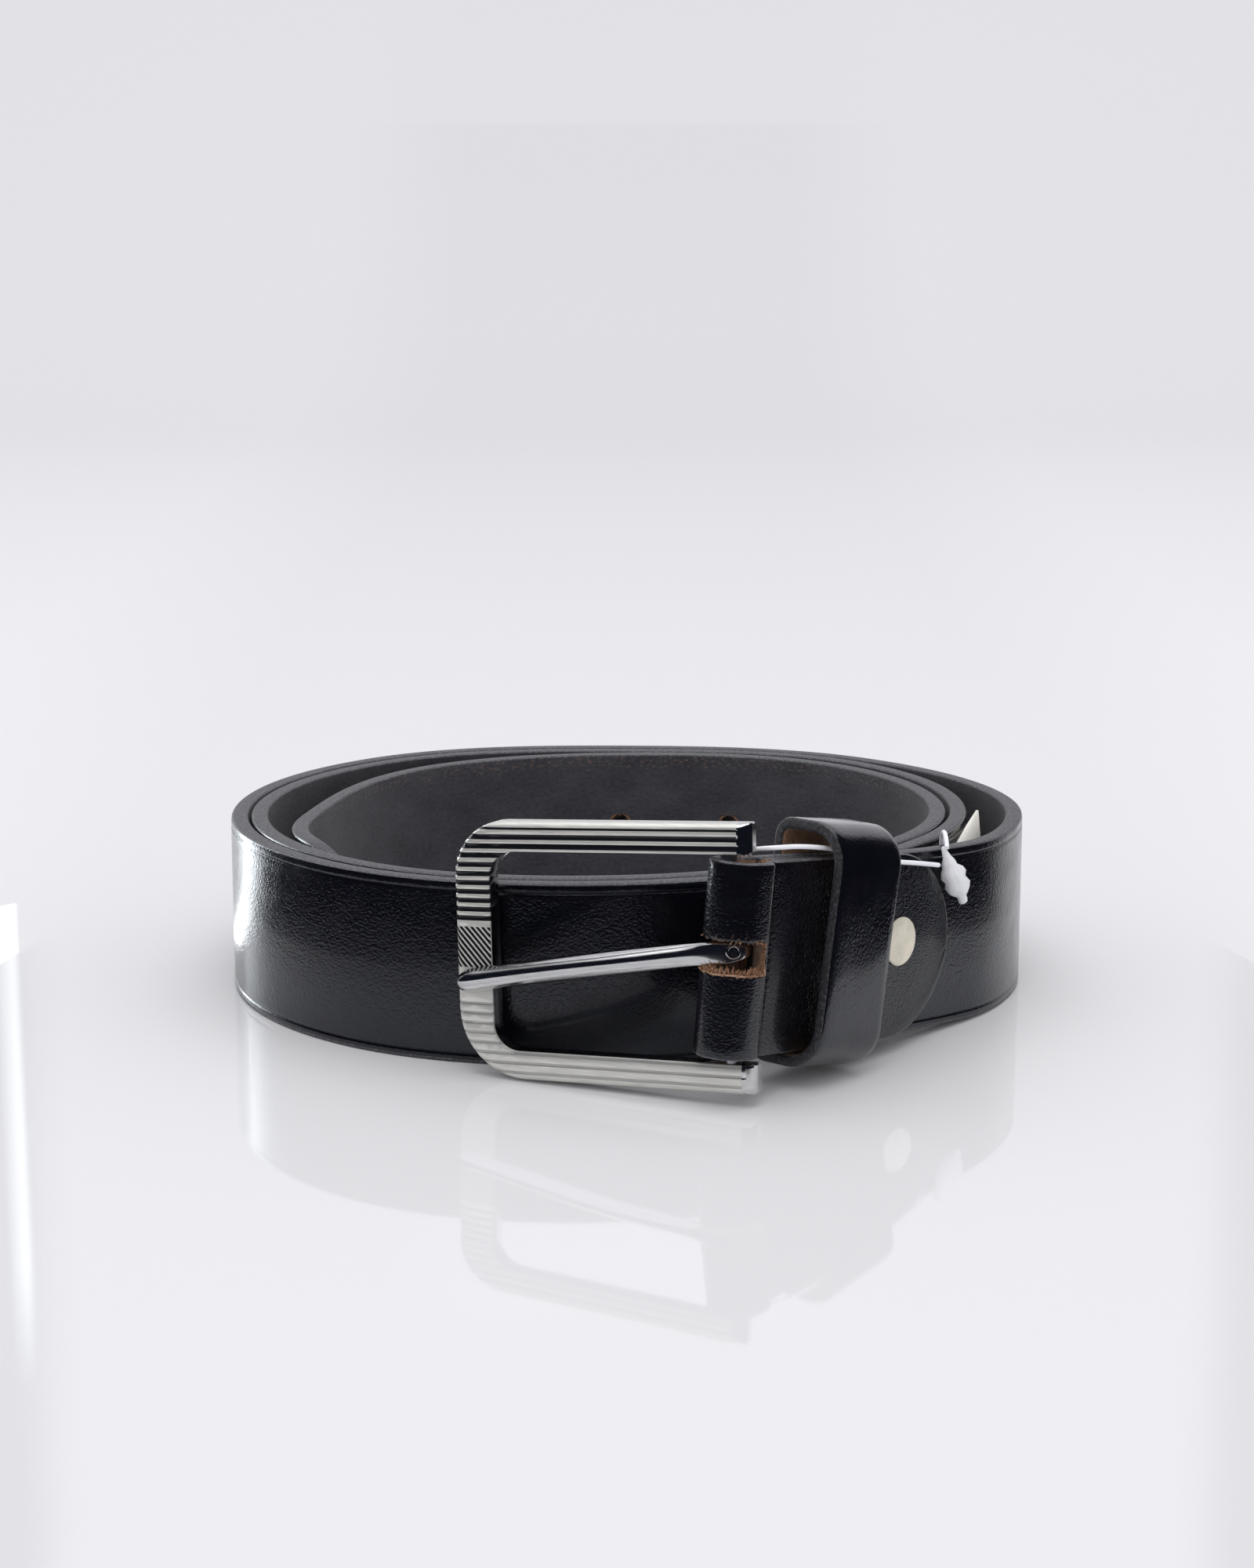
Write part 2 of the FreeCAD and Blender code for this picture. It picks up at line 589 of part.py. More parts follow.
chord = (TAG_APEX - TAG_FAR)
chord.z = 0
chord.normalize()
card = box("card", "sizes.tag_length", "sizes.tag_thick", "sizes.tag_height",
           ("-sizes.tag_length", "-sizes.tag_thick / 2", "-sizes.tag_height"))
eyelet = cylinder("eyelet", "sizes.tag_hole", "4", ("3.6 - sizes.tag_length", "-2", "-3.6"),
                  Vector(0, 1, 0))
tag_turn = Rotation(Vector(0, 0, 1), math.degrees(math.atan2(chord.y, chord.x)))
tag_turn = tag_turn * Rotation(Vector(0, 1, 0), -size("tag_slope"))
keep(cut("hang_tag", card, eyelet), "hang_tag", Placement(TAG_APEX, tag_turn))

# ---------------------------------------------------------------- place, check and write

doc.recompute()
for thing in nodes:
    thing.Placement = Placement(FOOTPRINT, Rotation()) * thing.Placement
doc.recompute()
for thing in doc.Objects:
    if "Invalid" in thing.State or "Error" in thing.State:
        raise RuntimeError("failed object: %s %s" % (thing.Name, thing.State))
os.makedirs("parts", exist_ok=True)
for thing in nodes:
    shape = thing.Shape
    if shape.isNull() or not shape.isValid():
        raise RuntimeError("bad shape: " + thing.Label)
    limits = shape.BoundBox
    print("%-18s solids %d volume %8.1f  x %.1f..%.1f y %.1f..%.1f z %.2f..%.2f"
          % (thing.Label, len(shape.Solids), shape.Volume, limits.XMin, limits.XMax,
             limits.YMin, limits.YMax, limits.ZMin, limits.ZMax))
    shape.exportStep("parts/%s.step" % thing.Label)
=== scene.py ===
"""Looks of the coiled leather belt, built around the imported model.

Lengths in the functions below are millimetres in the CAD's own local frames and become
metres when a point is placed.  The end frame runs back along the strap from the heel bar
(X), into the coil (Y) and across the strap (Z); the buckle frame turns with the buckle.
"""
import bisect
import json
import math
import random
import bmesh
import bpy
from mathutils import Matrix, Vector, noise


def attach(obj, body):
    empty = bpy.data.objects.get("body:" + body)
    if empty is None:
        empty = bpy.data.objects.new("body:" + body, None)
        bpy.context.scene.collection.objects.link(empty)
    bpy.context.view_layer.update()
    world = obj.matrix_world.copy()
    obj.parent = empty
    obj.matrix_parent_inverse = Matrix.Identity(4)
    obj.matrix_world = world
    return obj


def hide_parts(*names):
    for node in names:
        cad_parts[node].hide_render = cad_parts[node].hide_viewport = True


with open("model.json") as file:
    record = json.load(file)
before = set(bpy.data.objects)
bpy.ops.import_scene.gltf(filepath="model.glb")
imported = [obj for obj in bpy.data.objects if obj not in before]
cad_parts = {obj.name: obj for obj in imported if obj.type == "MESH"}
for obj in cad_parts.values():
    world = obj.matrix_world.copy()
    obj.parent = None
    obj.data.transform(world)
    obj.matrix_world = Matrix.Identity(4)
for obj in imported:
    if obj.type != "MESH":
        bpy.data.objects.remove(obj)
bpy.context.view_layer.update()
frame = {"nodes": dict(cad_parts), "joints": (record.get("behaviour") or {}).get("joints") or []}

MM = 0.001
joints = {joint["name"]: joint for joint in frame["joints"]}
HEEL = Vector(joints["frame_swing"]["pos_m"])
# The middle of the coil's plan, from which its turns are measured.
CENTRE = Vector((HEEL.x - 18.6 * MM, HEEL.y + 93.0 * MM, 0))


def axes(origin, along, into, across):
    """A placement matrix from an origin and three unit axes."""
    turn = Matrix((along, into, across)).transposed().to_4x4()
    return Matrix.Translation(origin) @ turn


def turned(degrees, axis):
    """A rotation matrix about one axis."""
    return Matrix.Rotation(math.radians(degrees), 4, axis)


END_X = Vector(joints["keeper_slide"]["axis"]).normalized()
END_Y = Vector((-END_X.y, END_X.x, 0)).normalized()
END = axes(HEEL, END_X, END_Y, END_X.cross(END_Y))
BUCKLE = Matrix.Translation(HEEL) @ turned(-23, "Z") @ turned(-3, "X") @ turned(-3, "Y")
# The keeper's middle, along the end and above it.
KEEPER_ALONG, KEEPER_RISE = 26.2, 1.4
KEEPER = END @ Matrix.Translation(Vector((KEEPER_ALONG, 0, KEEPER_RISE)) * MM) @ turned(3, "Y")


def put(place, x, y, z):
    """A point given in millimetres in a local frame, in the model's metres."""
    return place @ (Vector((x, y, z)) * MM)


def ease(share):
    """Smooth step from 0 to 1."""
    share = max(0.0, min(1.0, share))
    return share * share * (3 - 2 * share)


# ---------------------------------------------------------------- camera and stage

camera_data = bpy.data.cameras.new("camera")
camera_data.lens = 72
camera_data.sensor_width = 36
camera_data.clip_start = 0.01
camera = bpy.data.objects.new("camera", camera_data)
camera.location = (-0.0001, -0.6198, 0.1675)
camera.rotation_euler = (math.radians(90 - 11.36), 0, 0)
bpy.context.scene.collection.objects.link(camera)
bpy.context.scene.camera = camera
bpy.context.scene.view_settings.view_transform = "Standard"


class Nodes:
    """Short way to make one material's node tree."""

    def __init__(self, name):
        self.material = bpy.data.materials.new(name)
        self.material.use_nodes = True
        self.tree = self.material.node_tree
        self.tree.nodes.clear()
        self.output = self.add("ShaderNodeOutputMaterial")

    def add(self, kind, **fields):
        """A node with attributes and input values; a socket as a value is linked."""
        node = self.tree.nodes.new(kind)
        for field, value in fields.items():
            if hasattr(node, field) and field not in node.inputs:
                setattr(node, field, value)
        for field, value in fields.items():
            if not (hasattr(node, field) and field not in node.inputs):
                self.feed(node.inputs[field.replace("_", " ")], value)
        return node

    def feed(self, socket, value):
        """Set or link one input."""
        if isinstance(value, bpy.types.NodeSocket):
            self.tree.links.new(value, socket)
        elif isinstance(value, (tuple, list)) and len(value) == 3 and socket.type == "RGBA":
            socket.default_value = (*value, 1)
        else:
            socket.default_value = value

    def math(self, operation, first, second=0.0):
        """The result of a Math node."""
        node = self.add("ShaderNodeMath", operation=operation)
        self.feed(node.inputs[0], first)
        self.feed(node.inputs[1], second)
        return node.outputs[0]

    def blend(self, share, first, second, blend_type="MIX"):
        """A mix of two colours."""
        node = self.add("ShaderNodeMix", data_type="RGBA", blend_type=blend_type)
        for socket, value in ((0, share), (6, first), (7, second)):
            self.feed(node.inputs[socket], value)
        return node.outputs[2]

    def ramp(self, source, low, high, out_low=0.0, out_high=1.0):
        """A clamped straight map of a value."""
        node = self.add("ShaderNodeMapRange")
        for socket, value in zip(node.inputs, (source, low, high, out_low, out_high)):
            self.feed(socket, value)
        return node.outputs[0]

    def place(self, kind, scale=(1, 1, 1)):
        """Texture coordinates, stretched."""
        coordinates = self.add("ShaderNodeTexCoord").outputs[kind]
        return self.add("ShaderNodeMapping", Vector=coordinates, Scale=scale).outputs[0]

    def cloud(self, where, scale, detail=2.0, rough=0.5):
        """Noise."""
        return self.add("ShaderNodeTexNoise", Vector=where, Scale=scale, Detail=detail,
                        Roughness=rough).outputs["Fac"]

    def cells(self, where, scale):
        """Distance within rounded cells."""
        return self.add("ShaderNodeTexVoronoi", feature="SMOOTH_F1", Vector=where,
                        Scale=scale).outputs["Distance"]

    def bump(self, height, strength, depth):
        """A bump's normal."""
        return self.add("ShaderNodeBump", Strength=strength, Distance=depth, Height=height).outputs[0]

    def attribute(self, name):
        """A value that the mesh holds."""
        return self.add("ShaderNodeAttribute", attribute_name=name).outputs["Fac"]

    def rawness(self, pattern, spread, low, high):
        """How raw the leather is, as its mesh says, with a ragged border."""
        ragged = self.math("ADD", self.attribute("raw"), self.ramp(pattern, 0.3, 0.7, -spread, spread))
        return self.ramp(ragged, low, high)

    def surface(self, colour, roughness, normal, **fixed):
        """The closing Principled shader."""
        shader = self.add("ShaderNodeBsdfPrincipled", Base_Color=colour, Roughness=roughness,
                          Normal=normal, **fixed)
        self.feed(self.output.inputs["Surface"], shader.outputs[0])
        return self.material

    def mix(self, share, first, second):
        """The closing mix of two shaders."""
        mixed = self.add("ShaderNodeMixShader")
        for socket, value in zip(mixed.inputs, (share, first.outputs[0], second.outputs[0])):
            self.feed(socket, value)
        self.feed(self.output.inputs["Surface"], mixed.outputs[0])
        return self.material


BLACK = (0.0028, 0.0030, 0.0052)
TAN = (0.30, 0.15, 0.075)
PALE_TAN = (0.52, 0.33, 0.2)
EDGE_TAN = (0.2, 0.1, 0.055)


def scaled(colour, share):
    """A colour made darker or lighter."""
    return tuple(share * part for part in colour)


def grain_leather(name, gloss, relief, coat=0.3, shine=0.1, fineness=1.0):
    """Black finished leather: pebbled, a little uneven in gloss, raw tan where it is cut."""
    nodes = Nodes(name)
    where = nodes.place("UV", (0.8 * fineness, fineness, fineness))
    broad = nodes.cloud(where, 60 / fineness, 3)
    fine = nodes.cloud(where, 2600, 2)
    pebble = nodes.cells(where, 1700)
    pores = nodes.cloud(where, 700, 3, 0.6)
    height = nodes.math("ADD", nodes.math("MULTIPLY", pebble, 0.8), nodes.math("MULTIPLY", fine, 0.5))
    height = nodes.math("ADD", height, nodes.math("MULTIPLY", pores, 0.7))
    tone = nodes.ramp(broad, 0.3, 0.7, 0.75, 1.3)
    tone = nodes.add("ShaderNodeCombineColor", Red=tone, Green=tone, Blue=tone).outputs[0]
    shade = nodes.blend(1.0, BLACK, tone, "MULTIPLY")
    share = nodes.rawness(nodes.cloud(where, 1300, 4, 0.7), 0.35, 0.42, 0.75)
    shade = nodes.blend(share, shade, nodes.blend(nodes.cloud(where, 1800, 4), TAN, PALE_TAN))
    rough = nodes.ramp(nodes.cloud(where, 180, 4), 0.3, 0.7, gloss - 0.05, gloss + 0.07)
    rough = nodes.math("ADD", rough, nodes.math("MULTIPLY", share, 0.5))
    return nodes.surface(shade, rough, nodes.bump(height, relief, 0.00022), Coat_Weight=coat,
                         Coat_Roughness=shine, Specular_IOR_Level=0.5,
                         Specular_Tint=(0.86, 0.9, 1.0, 1))


def flesh_leather(name, dark, pale, rough=0.85):
    """The napped inner side: short fibres, mottled, brown where it is worn."""
    nodes = Nodes(name)
    where = nodes.place("UV", (0.6, 1.0, 1.0))
    fibres = nodes.cloud(where, 1500, 5, 0.75)
    blotch = nodes.cloud(where, 120, 4, 0.6)
    mixed = nodes.math("ADD", nodes.math("MULTIPLY", fibres, 0.6), nodes.math("MULTIPLY", blotch, 0.4))
    shade = nodes.blend(nodes.ramp(mixed, 0.32, 0.68), dark, pale)
    shade = nodes.blend(nodes.rawness(fibres, 0.4, 0.4, 0.9), shade, TAN)
    return nodes.surface(shade, rough, nodes.bump(fibres, 0.5, 0.0003), Sheen_Weight=0.12,
                         Sheen_Roughness=0.5)


def edge_leather(name, colour, rough=0.42):
    """A burnished cut edge with fine strokes across it and pale specks."""
    nodes = Nodes(name)
    strokes = nodes.cloud(nodes.place("UV", (3.0, 0.35, 0.35)), 900, 4, 0.7)
    shade = nodes.blend(nodes.ramp(strokes, 0.3, 0.7), colour, scaled(colour, 2.2))
    specks = nodes.cloud(nodes.place("UV"), 1500, 3, 0.75)
    shade = nodes.blend(nodes.ramp(specks, 0.47, 0.68), shade, scaled(colour, 6))
    shade = nodes.blend(nodes.rawness(strokes, 0.3, 0.4, 0.9), shade, EDGE_TAN)
    roughness = nodes.ramp(strokes, 0.3, 0.7, rough - 0.07, rough + 0.12)
    height = nodes.math("ADD", strokes, specks)
    return nodes.surface(shade, roughness, nodes.bump(height, 0.6, 0.0002))


def metal(name, colour, rough, metallic=1.0, brush=(1, 1, 1), relief=0.08, scale=900):
    """Metal with faint brushing or casting texture."""
    nodes = Nodes(name)
    where = nodes.place("Object", brush)
    streaks = nodes.cloud(where, scale, 3, 0.6)
    shade = nodes.blend(nodes.ramp(streaks, 0.3, 0.7), scaled(colour, 0.8), colour)
    roughness = nodes.ramp(nodes.cloud(where, 90, 3), 0.3, 0.7, rough * 0.8, rough * 1.25)
    return nodes.surface(shade, roughness, nodes.bump(streaks, relief, 0.0001), Metallic=metallic)


def moulded(name, colour, rough, clear=0.0, glow=0.0, relief=0.25):
    """Translucent moulded nylon."""
    nodes = Nodes(name)
    ripple = nodes.cloud(nodes.place("Object"), 500, 3)
    shade = nodes.blend(nodes.ramp(ripple, 0.3, 0.7), scaled(colour, 0.93), colour)
    return nodes.surface(shade, rough, nodes.bump(ripple, relief, 0.0004),
                         Transmission_Weight=clear, IOR=1.5, Subsurface_Weight=glow,
                         Subsurface_Radius=(0.002, 0.002, 0.002), Subsurface_Scale=1.0)


def paper(name, colour):
    """Card with a fine felt surface."""
    nodes = Nodes(name)
    felt = nodes.cloud(nodes.place("Object"), 1600, 4, 0.7)
    shade = nodes.blend(nodes.ramp(felt, 0.3, 0.7), scaled(colour, 0.92), colour)
    return nodes.surface(shade, 0.7, nodes.bump(felt, 0.3, 0.0001))


GRAIN = grain_leather("strap_grain", 0.2, 0.36, fineness=1.3)
FLESH = flesh_leather("strap_flesh", (0.012, 0.012, 0.017), (0.055, 0.054, 0.064))
EDGE = edge_leather("strap_edge", (0.024, 0.024, 0.027))
CHAPE_GRAIN = grain_leather("chape_grain", 0.24, 0.6, coat=0.5, shine=0.12, fineness=1.5)
CHAPE_RAW = flesh_leather("chape_raw", (0.10, 0.05, 0.028), (0.42, 0.24, 0.14), 0.95)
FIBRE = flesh_leather("chape_fibre", (0.42, 0.22, 0.11), (0.85, 0.52, 0.3), 0.9)
# Painted shade: the slot's upper wall and its end walls are coloured darker than its lower wall.
CHAPE_SLOT_SHADE = flesh_leather("chape_slot_painted_shade", (0.012, 0.010, 0.009), (0.34, 0.19, 0.11), 0.95)
CHAPE_EDGE = edge_leather("chape_edge", (0.04, 0.04, 0.044), 0.5)
KEEPER_GRAIN = grain_leather("keeper_grain", 0.17, 0.26, coat=0.6, fineness=1.3)
KEEPER_RIM = edge_leather("keeper_rim", (0.012, 0.012, 0.014), 0.5)
LAND = metal("frame_land", (0.80, 0.79, 0.745), 0.4, 0.55, (0.2, 0.2, 3.0), 0.08)
# Painted shade: near-black colour for the grooves, the hatching and the prong's eye, in place of the
# shade and dark reflections in these hollows.
RECESS_SHADE = metal("recess_painted_shade", (0.012, 0.013, 0.017), 0.25, 0.3, (0.2, 0.2, 3.0), 0.1)
# Painted shade: the faint grooves on the lower arm are coloured a darker grey than the land.
FAINT_GROOVE_SHADE = metal("frame_faint_groove_shade", (0.52, 0.515, 0.50), 0.4, 0.6, (0.2, 0.2, 3.0), 0.1)
POLISH = metal("frame_polish", (0.72, 0.72, 0.71), 0.14, 1.0, (1, 1, 1), 0.05)
CHROME = metal("prong_chrome", (0.72, 0.72, 0.73), 0.16, 1.0, (0.3, 0.3, 3.0), 0.06)
STEEL = metal("pin_steel", (0.5, 0.5, 0.52), 0.35)
WIRE = metal("staple_wire", (0.55, 0.55, 0.57), 0.3)
BRASS = metal("rivet_cream", (0.93, 0.87, 0.72), 0.45, 0.25, (1, 1, 1), 0.15, 300)
NYLON = moulded("string_nylon", (0.92, 0.93, 0.97), 0.35)
NYLON_LOCK = moulded("lock_nylon", (0.96, 0.965, 1.0), 0.25, 0.2, 0.3, 0.9)
CARD = paper("tag_card", (0.90, 0.87, 0.80))


class Shape:
    """Points and faces of one piece, gathered before its mesh is made."""

    def __init__(self):
        self.points = []
        self.raw = []
        self.faces = []
        self.kinds = []
        self.maps = []

    def add(self, place, raw=0.0):
        """One point, with how raw its leather is; gives its number."""
        self.points.append(place)
        self.raw.append(raw)
        return len(self.points) - 1

    def ring(self, places, raw=0.0):
        """A row of points, all as raw."""
        return [self.add(place, raw) for place in places]

    def face(self, corners, kind=0, maps=None):
        """One face with its material's number and texture places."""
        self.faces.append(list(corners))
        self.kinds.append(kind)
        self.maps.append(maps or [(0.0, 0.0)] * len(corners))

    def bridge(self, first, second, kinds=0, along=(0.0, 0.0), across=None, skip=()):
        """A closed band of quads between two rows of points."""
        count = len(first)
        across = across or [0.0] * (count + 1)
        for number in range(count):
            if number in skip:
                continue
            following = (number + 1) % count
            kind = kinds[number] if isinstance(kinds, list) else kinds
            low, high = across[number], across[number + 1]
            self.face((first[number], first[following], second[following], second[number]), kind,
                      [(along[0], low), (along[0], high), (along[1], high), (along[1], low)])

    def wrap(self, rows, kinds, reach, across, open_rows=(), skipped=()):
        """Bands between rows that lie at these reaches; open rows leave the skipped strips out."""
        for number, (first, second) in enumerate(zip(rows, rows[1:])):
            skip = skipped if number in open_rows else ()
            self.bridge(first, second, kinds, (reach[number] * MM, reach[number + 1] * MM), across, skip)

    def caps(self, rows, kind=0):
        """Close both ends of a row of rings."""
        self.face(rows[0], kind)
        self.face(rows[-1][::-1], kind)

    def skin(self, rows, kind=0):
        """Bands between rings, closed at both ends."""
        for first, second in zip(rows, rows[1:]):
            self.bridge(first, second, kind)
        self.caps(rows, kind)

    def spike(self, base, tip, width, kind, bend, raw=1.0):
        """A loose fibre: a thin bent three-sided thorn."""
        way = (tip - base).normalized()
        side = way.orthogonal().normalized()
        rows = []
        for part in (0.0, 0.5):
            middle = base.lerp(tip, part) + bend * part
            arms = [Matrix.Rotation(math.radians(turn), 3, way) @ side for turn in (0, 120, 240)]
            rows.append(self.ring((middle + arm * width * (1 - 0.5 * part) for arm in arms), raw))
        end = self.add(tip, raw)
        self.face(rows[0][::-1], kind)
        self.bridge(rows[0], rows[1], kind)
        for number in range(3):
            self.face((rows[1][number], rows[1][(number + 1) % 3], end), kind)

    def build(self, name, body, slot, materials, replaced):
        """The finished object, riding on its body."""
        mesh = bpy.data.meshes.new(name)
        mesh.from_pydata(self.points, [], self.faces)
        mesh.polygons.foreach_set("material_index", self.kinds)
        mesh.polygons.foreach_set("use_smooth", [True] * len(self.faces))
        layer = mesh.uv_layers.new(name="grain")
        layer.data.foreach_set("uv", [value for maps in self.maps for pair in maps for value in pair])
        raw = mesh.attributes.new("raw", "FLOAT", "POINT")
        raw.data.foreach_set("value", self.raw)
        return finish(name, mesh, body, materials, replaced)


def finish(name, mesh, body, materials, replaced):
    """Straighten a mesh's normals and put it in the scene on its body."""
    work = bmesh.new()
    work.from_mesh(mesh)
    bmesh.ops.recalc_face_normals(work, faces=work.faces)
    work.to_mesh(mesh)
    work.free()
    for material in materials:
        mesh.materials.append(material)
    thing = bpy.data.objects.new(name, mesh)
    bpy.context.scene.collection.objects.link(thing)
    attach(thing, body)
    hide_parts(*replaced)
    return thing


def lathe(shape, place, profile, sides, axis="Y", uneven=0.0, seed=0, kind=0):
    """Turn a profile of (radius, height) about a local axis."""
    rows = []
    for radius, height in profile:
        spots = []
        for number in range(sides):
            turn = 2 * math.pi * number / sides
            wobble = 1 + uneven * noise.noise(Vector((math.cos(turn) * 1.3, math.sin(turn) * 1.3,
                                                      height * 0.6 + seed)))
            x, y = radius * wobble * math.cos(turn), radius * wobble * math.sin(turn)
            spots.append(put(place, x, height, y) if axis == "Y" else put(place, x, y, height))
        rows.append(shape.ring(spots))
    shape.skin(rows, kind)


def spaced(first, second, steps, start=0, stop=None):
    """Evenly spaced points on a straight run; its last point only if stop is past the steps."""
    shares = [number / steps for number in range(start, steps if stop is None else stop)]
    return [(first[0] + (second[0] - first[0]) * share, first[1] + (second[1] - first[1]) * share)
            for share in shares]


def arc(centre, radius, start, stop, steps):
    """Points on an arc, both ends included."""
    turns = [math.radians(start + (stop - start) * number / steps) for number in range(steps + 1)]
    return [(centre[0] + radius * math.cos(turn), centre[1] + radius * math.sin(turn))
            for turn in turns]


def running(points):
    """How far along a line each of its points lies."""
    reach = [0.0]
    for first, second in zip(points, points[1:]):
        reach.append(reach[-1] + (Vector(second) - Vector(first)).length)
    return reach


def girth(section, thick=1.0):
    """Metres round a section's points, whose second number is in units of the thickness."""
    around = [0.0]
    for (a, b), (c, d) in zip(section, section[1:] + section[:1]):
        around.append(around[-1] + math.hypot(c - a, (d - b) * thick) * MM)
    return around


def sheet_section(flats, half, inset, shoulder):
    """Places across a sheet of leather, and what share of half its thickness they lie out."""
    edge = [(half - inset, 0.88), (half, shoulder), (half, -0.6), (half - 0.2, -0.93)]
    return ([(place, 1.0) for place in flats] + edge + [(place, -1.0) for place in reversed(flats)]
            + [(-place, share) for place, share in reversed(edge)])


# ---------------------------------------------------------------- strap

STRAP_HALF = 17.5
STRAP_DEEP = 1.75
CLIMB = math.radians(7.5)
FLAT = 48.0 * math.cos(CLIMB)
STRAIGHT = 72.0
YAW = math.atan2(END_X.y, END_X.x)
TIP = 26.0
# Turns of the coil: angle from +X in degrees, distance from the middle.
COIL = (
    (-14.5, 78.6), (0, 79.8), (45, 74.8), (90, 67.9), (135, 77.2), (180, 79.7), (225, 76.6),
    (270, 67.9), (315, 65.0), (360, 68.5), (405, 70.4), (450, 63.8), (495, 73.0), (540, 75.7),
    (585, 72.3), (630, 63.5), (675, 60.9), (720, 64.2), (765, 65.2), (810, 59.4), (855, 62.0),
    (900, 63.5), (920, 69.2), (941, 68.5),
)


def coil_points():
    """The middle line in plan, in millimetres from the coil's middle, at short steps."""
    heel = (HEEL - CENTRE) / MM
    way = Vector((math.cos(YAW), math.sin(YAW)))
    start = Vector((heel.x, heel.y)) + way * STRAIGHT
    knots = [(math.degrees(math.atan2(start.y, start.x)), start.length)] + list(COIL)
    off_round = math.radians(knots[0][0] + 90) - YAW
    slopes = [start.length * math.tan(off_round) * math.radians(1)]
    for before, here, after in zip(knots, knots[1:], knots[2:]):
        left = (here[1] - before[1]) / (here[0] - before[0])
        right = (after[1] - here[1]) / (after[0] - here[0])
        share = (here[0] - before[0]) / (after[0] - before[0])
        slopes.append(left * (1 - share) + right * share)
    slopes.append((knots[-1][1] - knots[-2][1]) / (knots[-1][0] - knots[-2][0]))
    points = [Vector((heel.x, heel.y)) + way * (STRAIGHT * number / 36) for number in range(36)]
    for (low, near), (high, far), rise, fall in zip(knots, knots[1:], slopes, slopes[1:]):
        span = high - low
        steps = max(2, round(span / 0.75))
        for number in range(steps):
            part = number / steps
            reach = (near * (1 + 2 * part) * (1 - part) ** 2 + rise * span * part * (1 - part) ** 2
                     + far * part ** 2 * (3 - 2 * part) + fall * span * part ** 2 * (part - 1))
            turn = math.radians(low + span * part)
            points.append(Vector((reach * math.cos(turn), reach * math.sin(turn))))
    turn = math.radians(knots[-1][0])
    points.append(Vector((knots[-1][1] * math.cos(turn), knots[-1][1] * math.sin(turn))))
    return points


LINE = coil_points()
REACH = running(LINE)
WAYS = []
for number in range(len(LINE)):
    before, after = LINE[max(0, number - 1)], LINE[min(len(LINE) - 1, number + 1)]
    WAYS.append((after - before).normalized())
TOTAL = REACH[-1]
# Where the strap begins to narrow towards its tip, and over what length.
TIP_FROM = TOTAL - TIP + 5.85
TIP_LONG = 20.4


def strap_point(along, across, out):
    """A point of the strap: plan distance from the heel bar, height across, distance outwards."""
    number = min(len(LINE) - 2, max(0, bisect.bisect_right(REACH, along) - 1))
    part = (along - REACH[number]) / (REACH[number + 1] - REACH[number])
    plan = LINE[number].lerp(LINE[number + 1], part)
    way = WAYS[number].lerp(WAYS[number + 1], max(0.0, min(1.0, part))).normalized()
    low = HEEL.z / MM - FLAT * math.tan(CLIMB)
    easing = 2 * (low - STRAP_HALF) / math.sin(CLIMB)
    if along <= FLAT:
        climb, height = CLIMB, HEEL.z / MM - along * math.tan(CLIMB)
    elif along <= FLAT + easing:
        share = (along - FLAT) / easing
        climb = CLIMB * (1 - share)
        height = low - math.sin(CLIMB) * easing * (share - share * share / 2)
    else:
        climb, height = 0.0, STRAP_HALF
    up = Vector((way.x * math.sin(climb), way.y * math.sin(climb), math.cos(climb)))
    side = Vector((way.y, -way.x, 0))
    return CENTRE + (Vector((plan.x, plan.y, height)) + up * across + side * out) * MM


def corner(across, out, radius, side_across, side_out, steps=3):
    """Points round one long corner of the strap's section, between its two flats."""
    points = []
    for number in range(1, steps + 1):
        turn = math.radians(90 * number / (steps + 1))
        points.append((side_across * (across - radius + radius * math.sin(turn)),
                       side_out * (out - radius + radius * math.cos(turn))))
    return points


GRAIN_ROUND = 0.75
FLESH_ROUND = 0.45
# A hole sits in a square patch of this grid, to which its rings lead.
HOLE_GRID = [float(number) for number in range(-4, 5)]
HOLE_RISE = 1.8
HOLE_PITCH = 25.0
HOLE_COUNT = 5
HOLE_FIBRES = 26
TIP_TO_HOLE = 144.1
# The section's other places across, from the grid to the pressed line.
OUTWARD = [5.5, 7.25, 9.0, 11.0, 13.0, 15.0]
# The pressed line beside each edge: places across the strap, and how deep it is there.
CREASE = [(15.25, 0.0), (15.42, 0.05), (15.55, 0.2), (15.7, 0.28), (15.85, 0.2), (15.98, 0.05),
          (16.15, 0.0)]


def strap_section():
    """The section's points from the grain side's lower corner round, and each strip's material."""
    half, deep = STRAP_HALF, STRAP_DEEP
    upper = [(place, deep) for place in OUTWARD] + [(place, deep - dent) for place, dent in CREASE]
    upper.append((half - GRAIN_ROUND, deep))
    lower = [(-place, out) for place, out in reversed(upper)]
    grain = lower + [(place, deep) for place in HOLE_GRID] + upper
    flesh_upper = [(half - FLESH_ROUND, -deep)] + [(place, -deep) for place in reversed(OUTWARD)]
    flesh_lower = [(-place, out) for place, out in reversed(flesh_upper)]
    flesh = flesh_upper + [(place, -deep) for place in reversed(HOLE_GRID)] + flesh_lower
    top = corner(half, deep, GRAIN_ROUND, 1, 1) + [(half, deep - GRAIN_ROUND), (half + 0.06, 0.1),
                                                   (half, FLESH_ROUND - deep)]
    top += reversed(corner(half, deep, FLESH_ROUND, 1, -1))
    low = corner(half, deep, FLESH_ROUND, -1, -1) + [(-half, FLESH_ROUND - deep), (-half, 0.1),
                                                    (-half, deep - GRAIN_ROUND)]
    low += reversed(corner(half, deep, GRAIN_ROUND, -1, 1))
    kinds = [0] * (len(grain) + 1) + [2] * (len(top) - 2) + [1] * len(flesh) + [2] * (len(low) + 1)
    return grain + top + flesh + low, kinds, len(grain) + len(top)


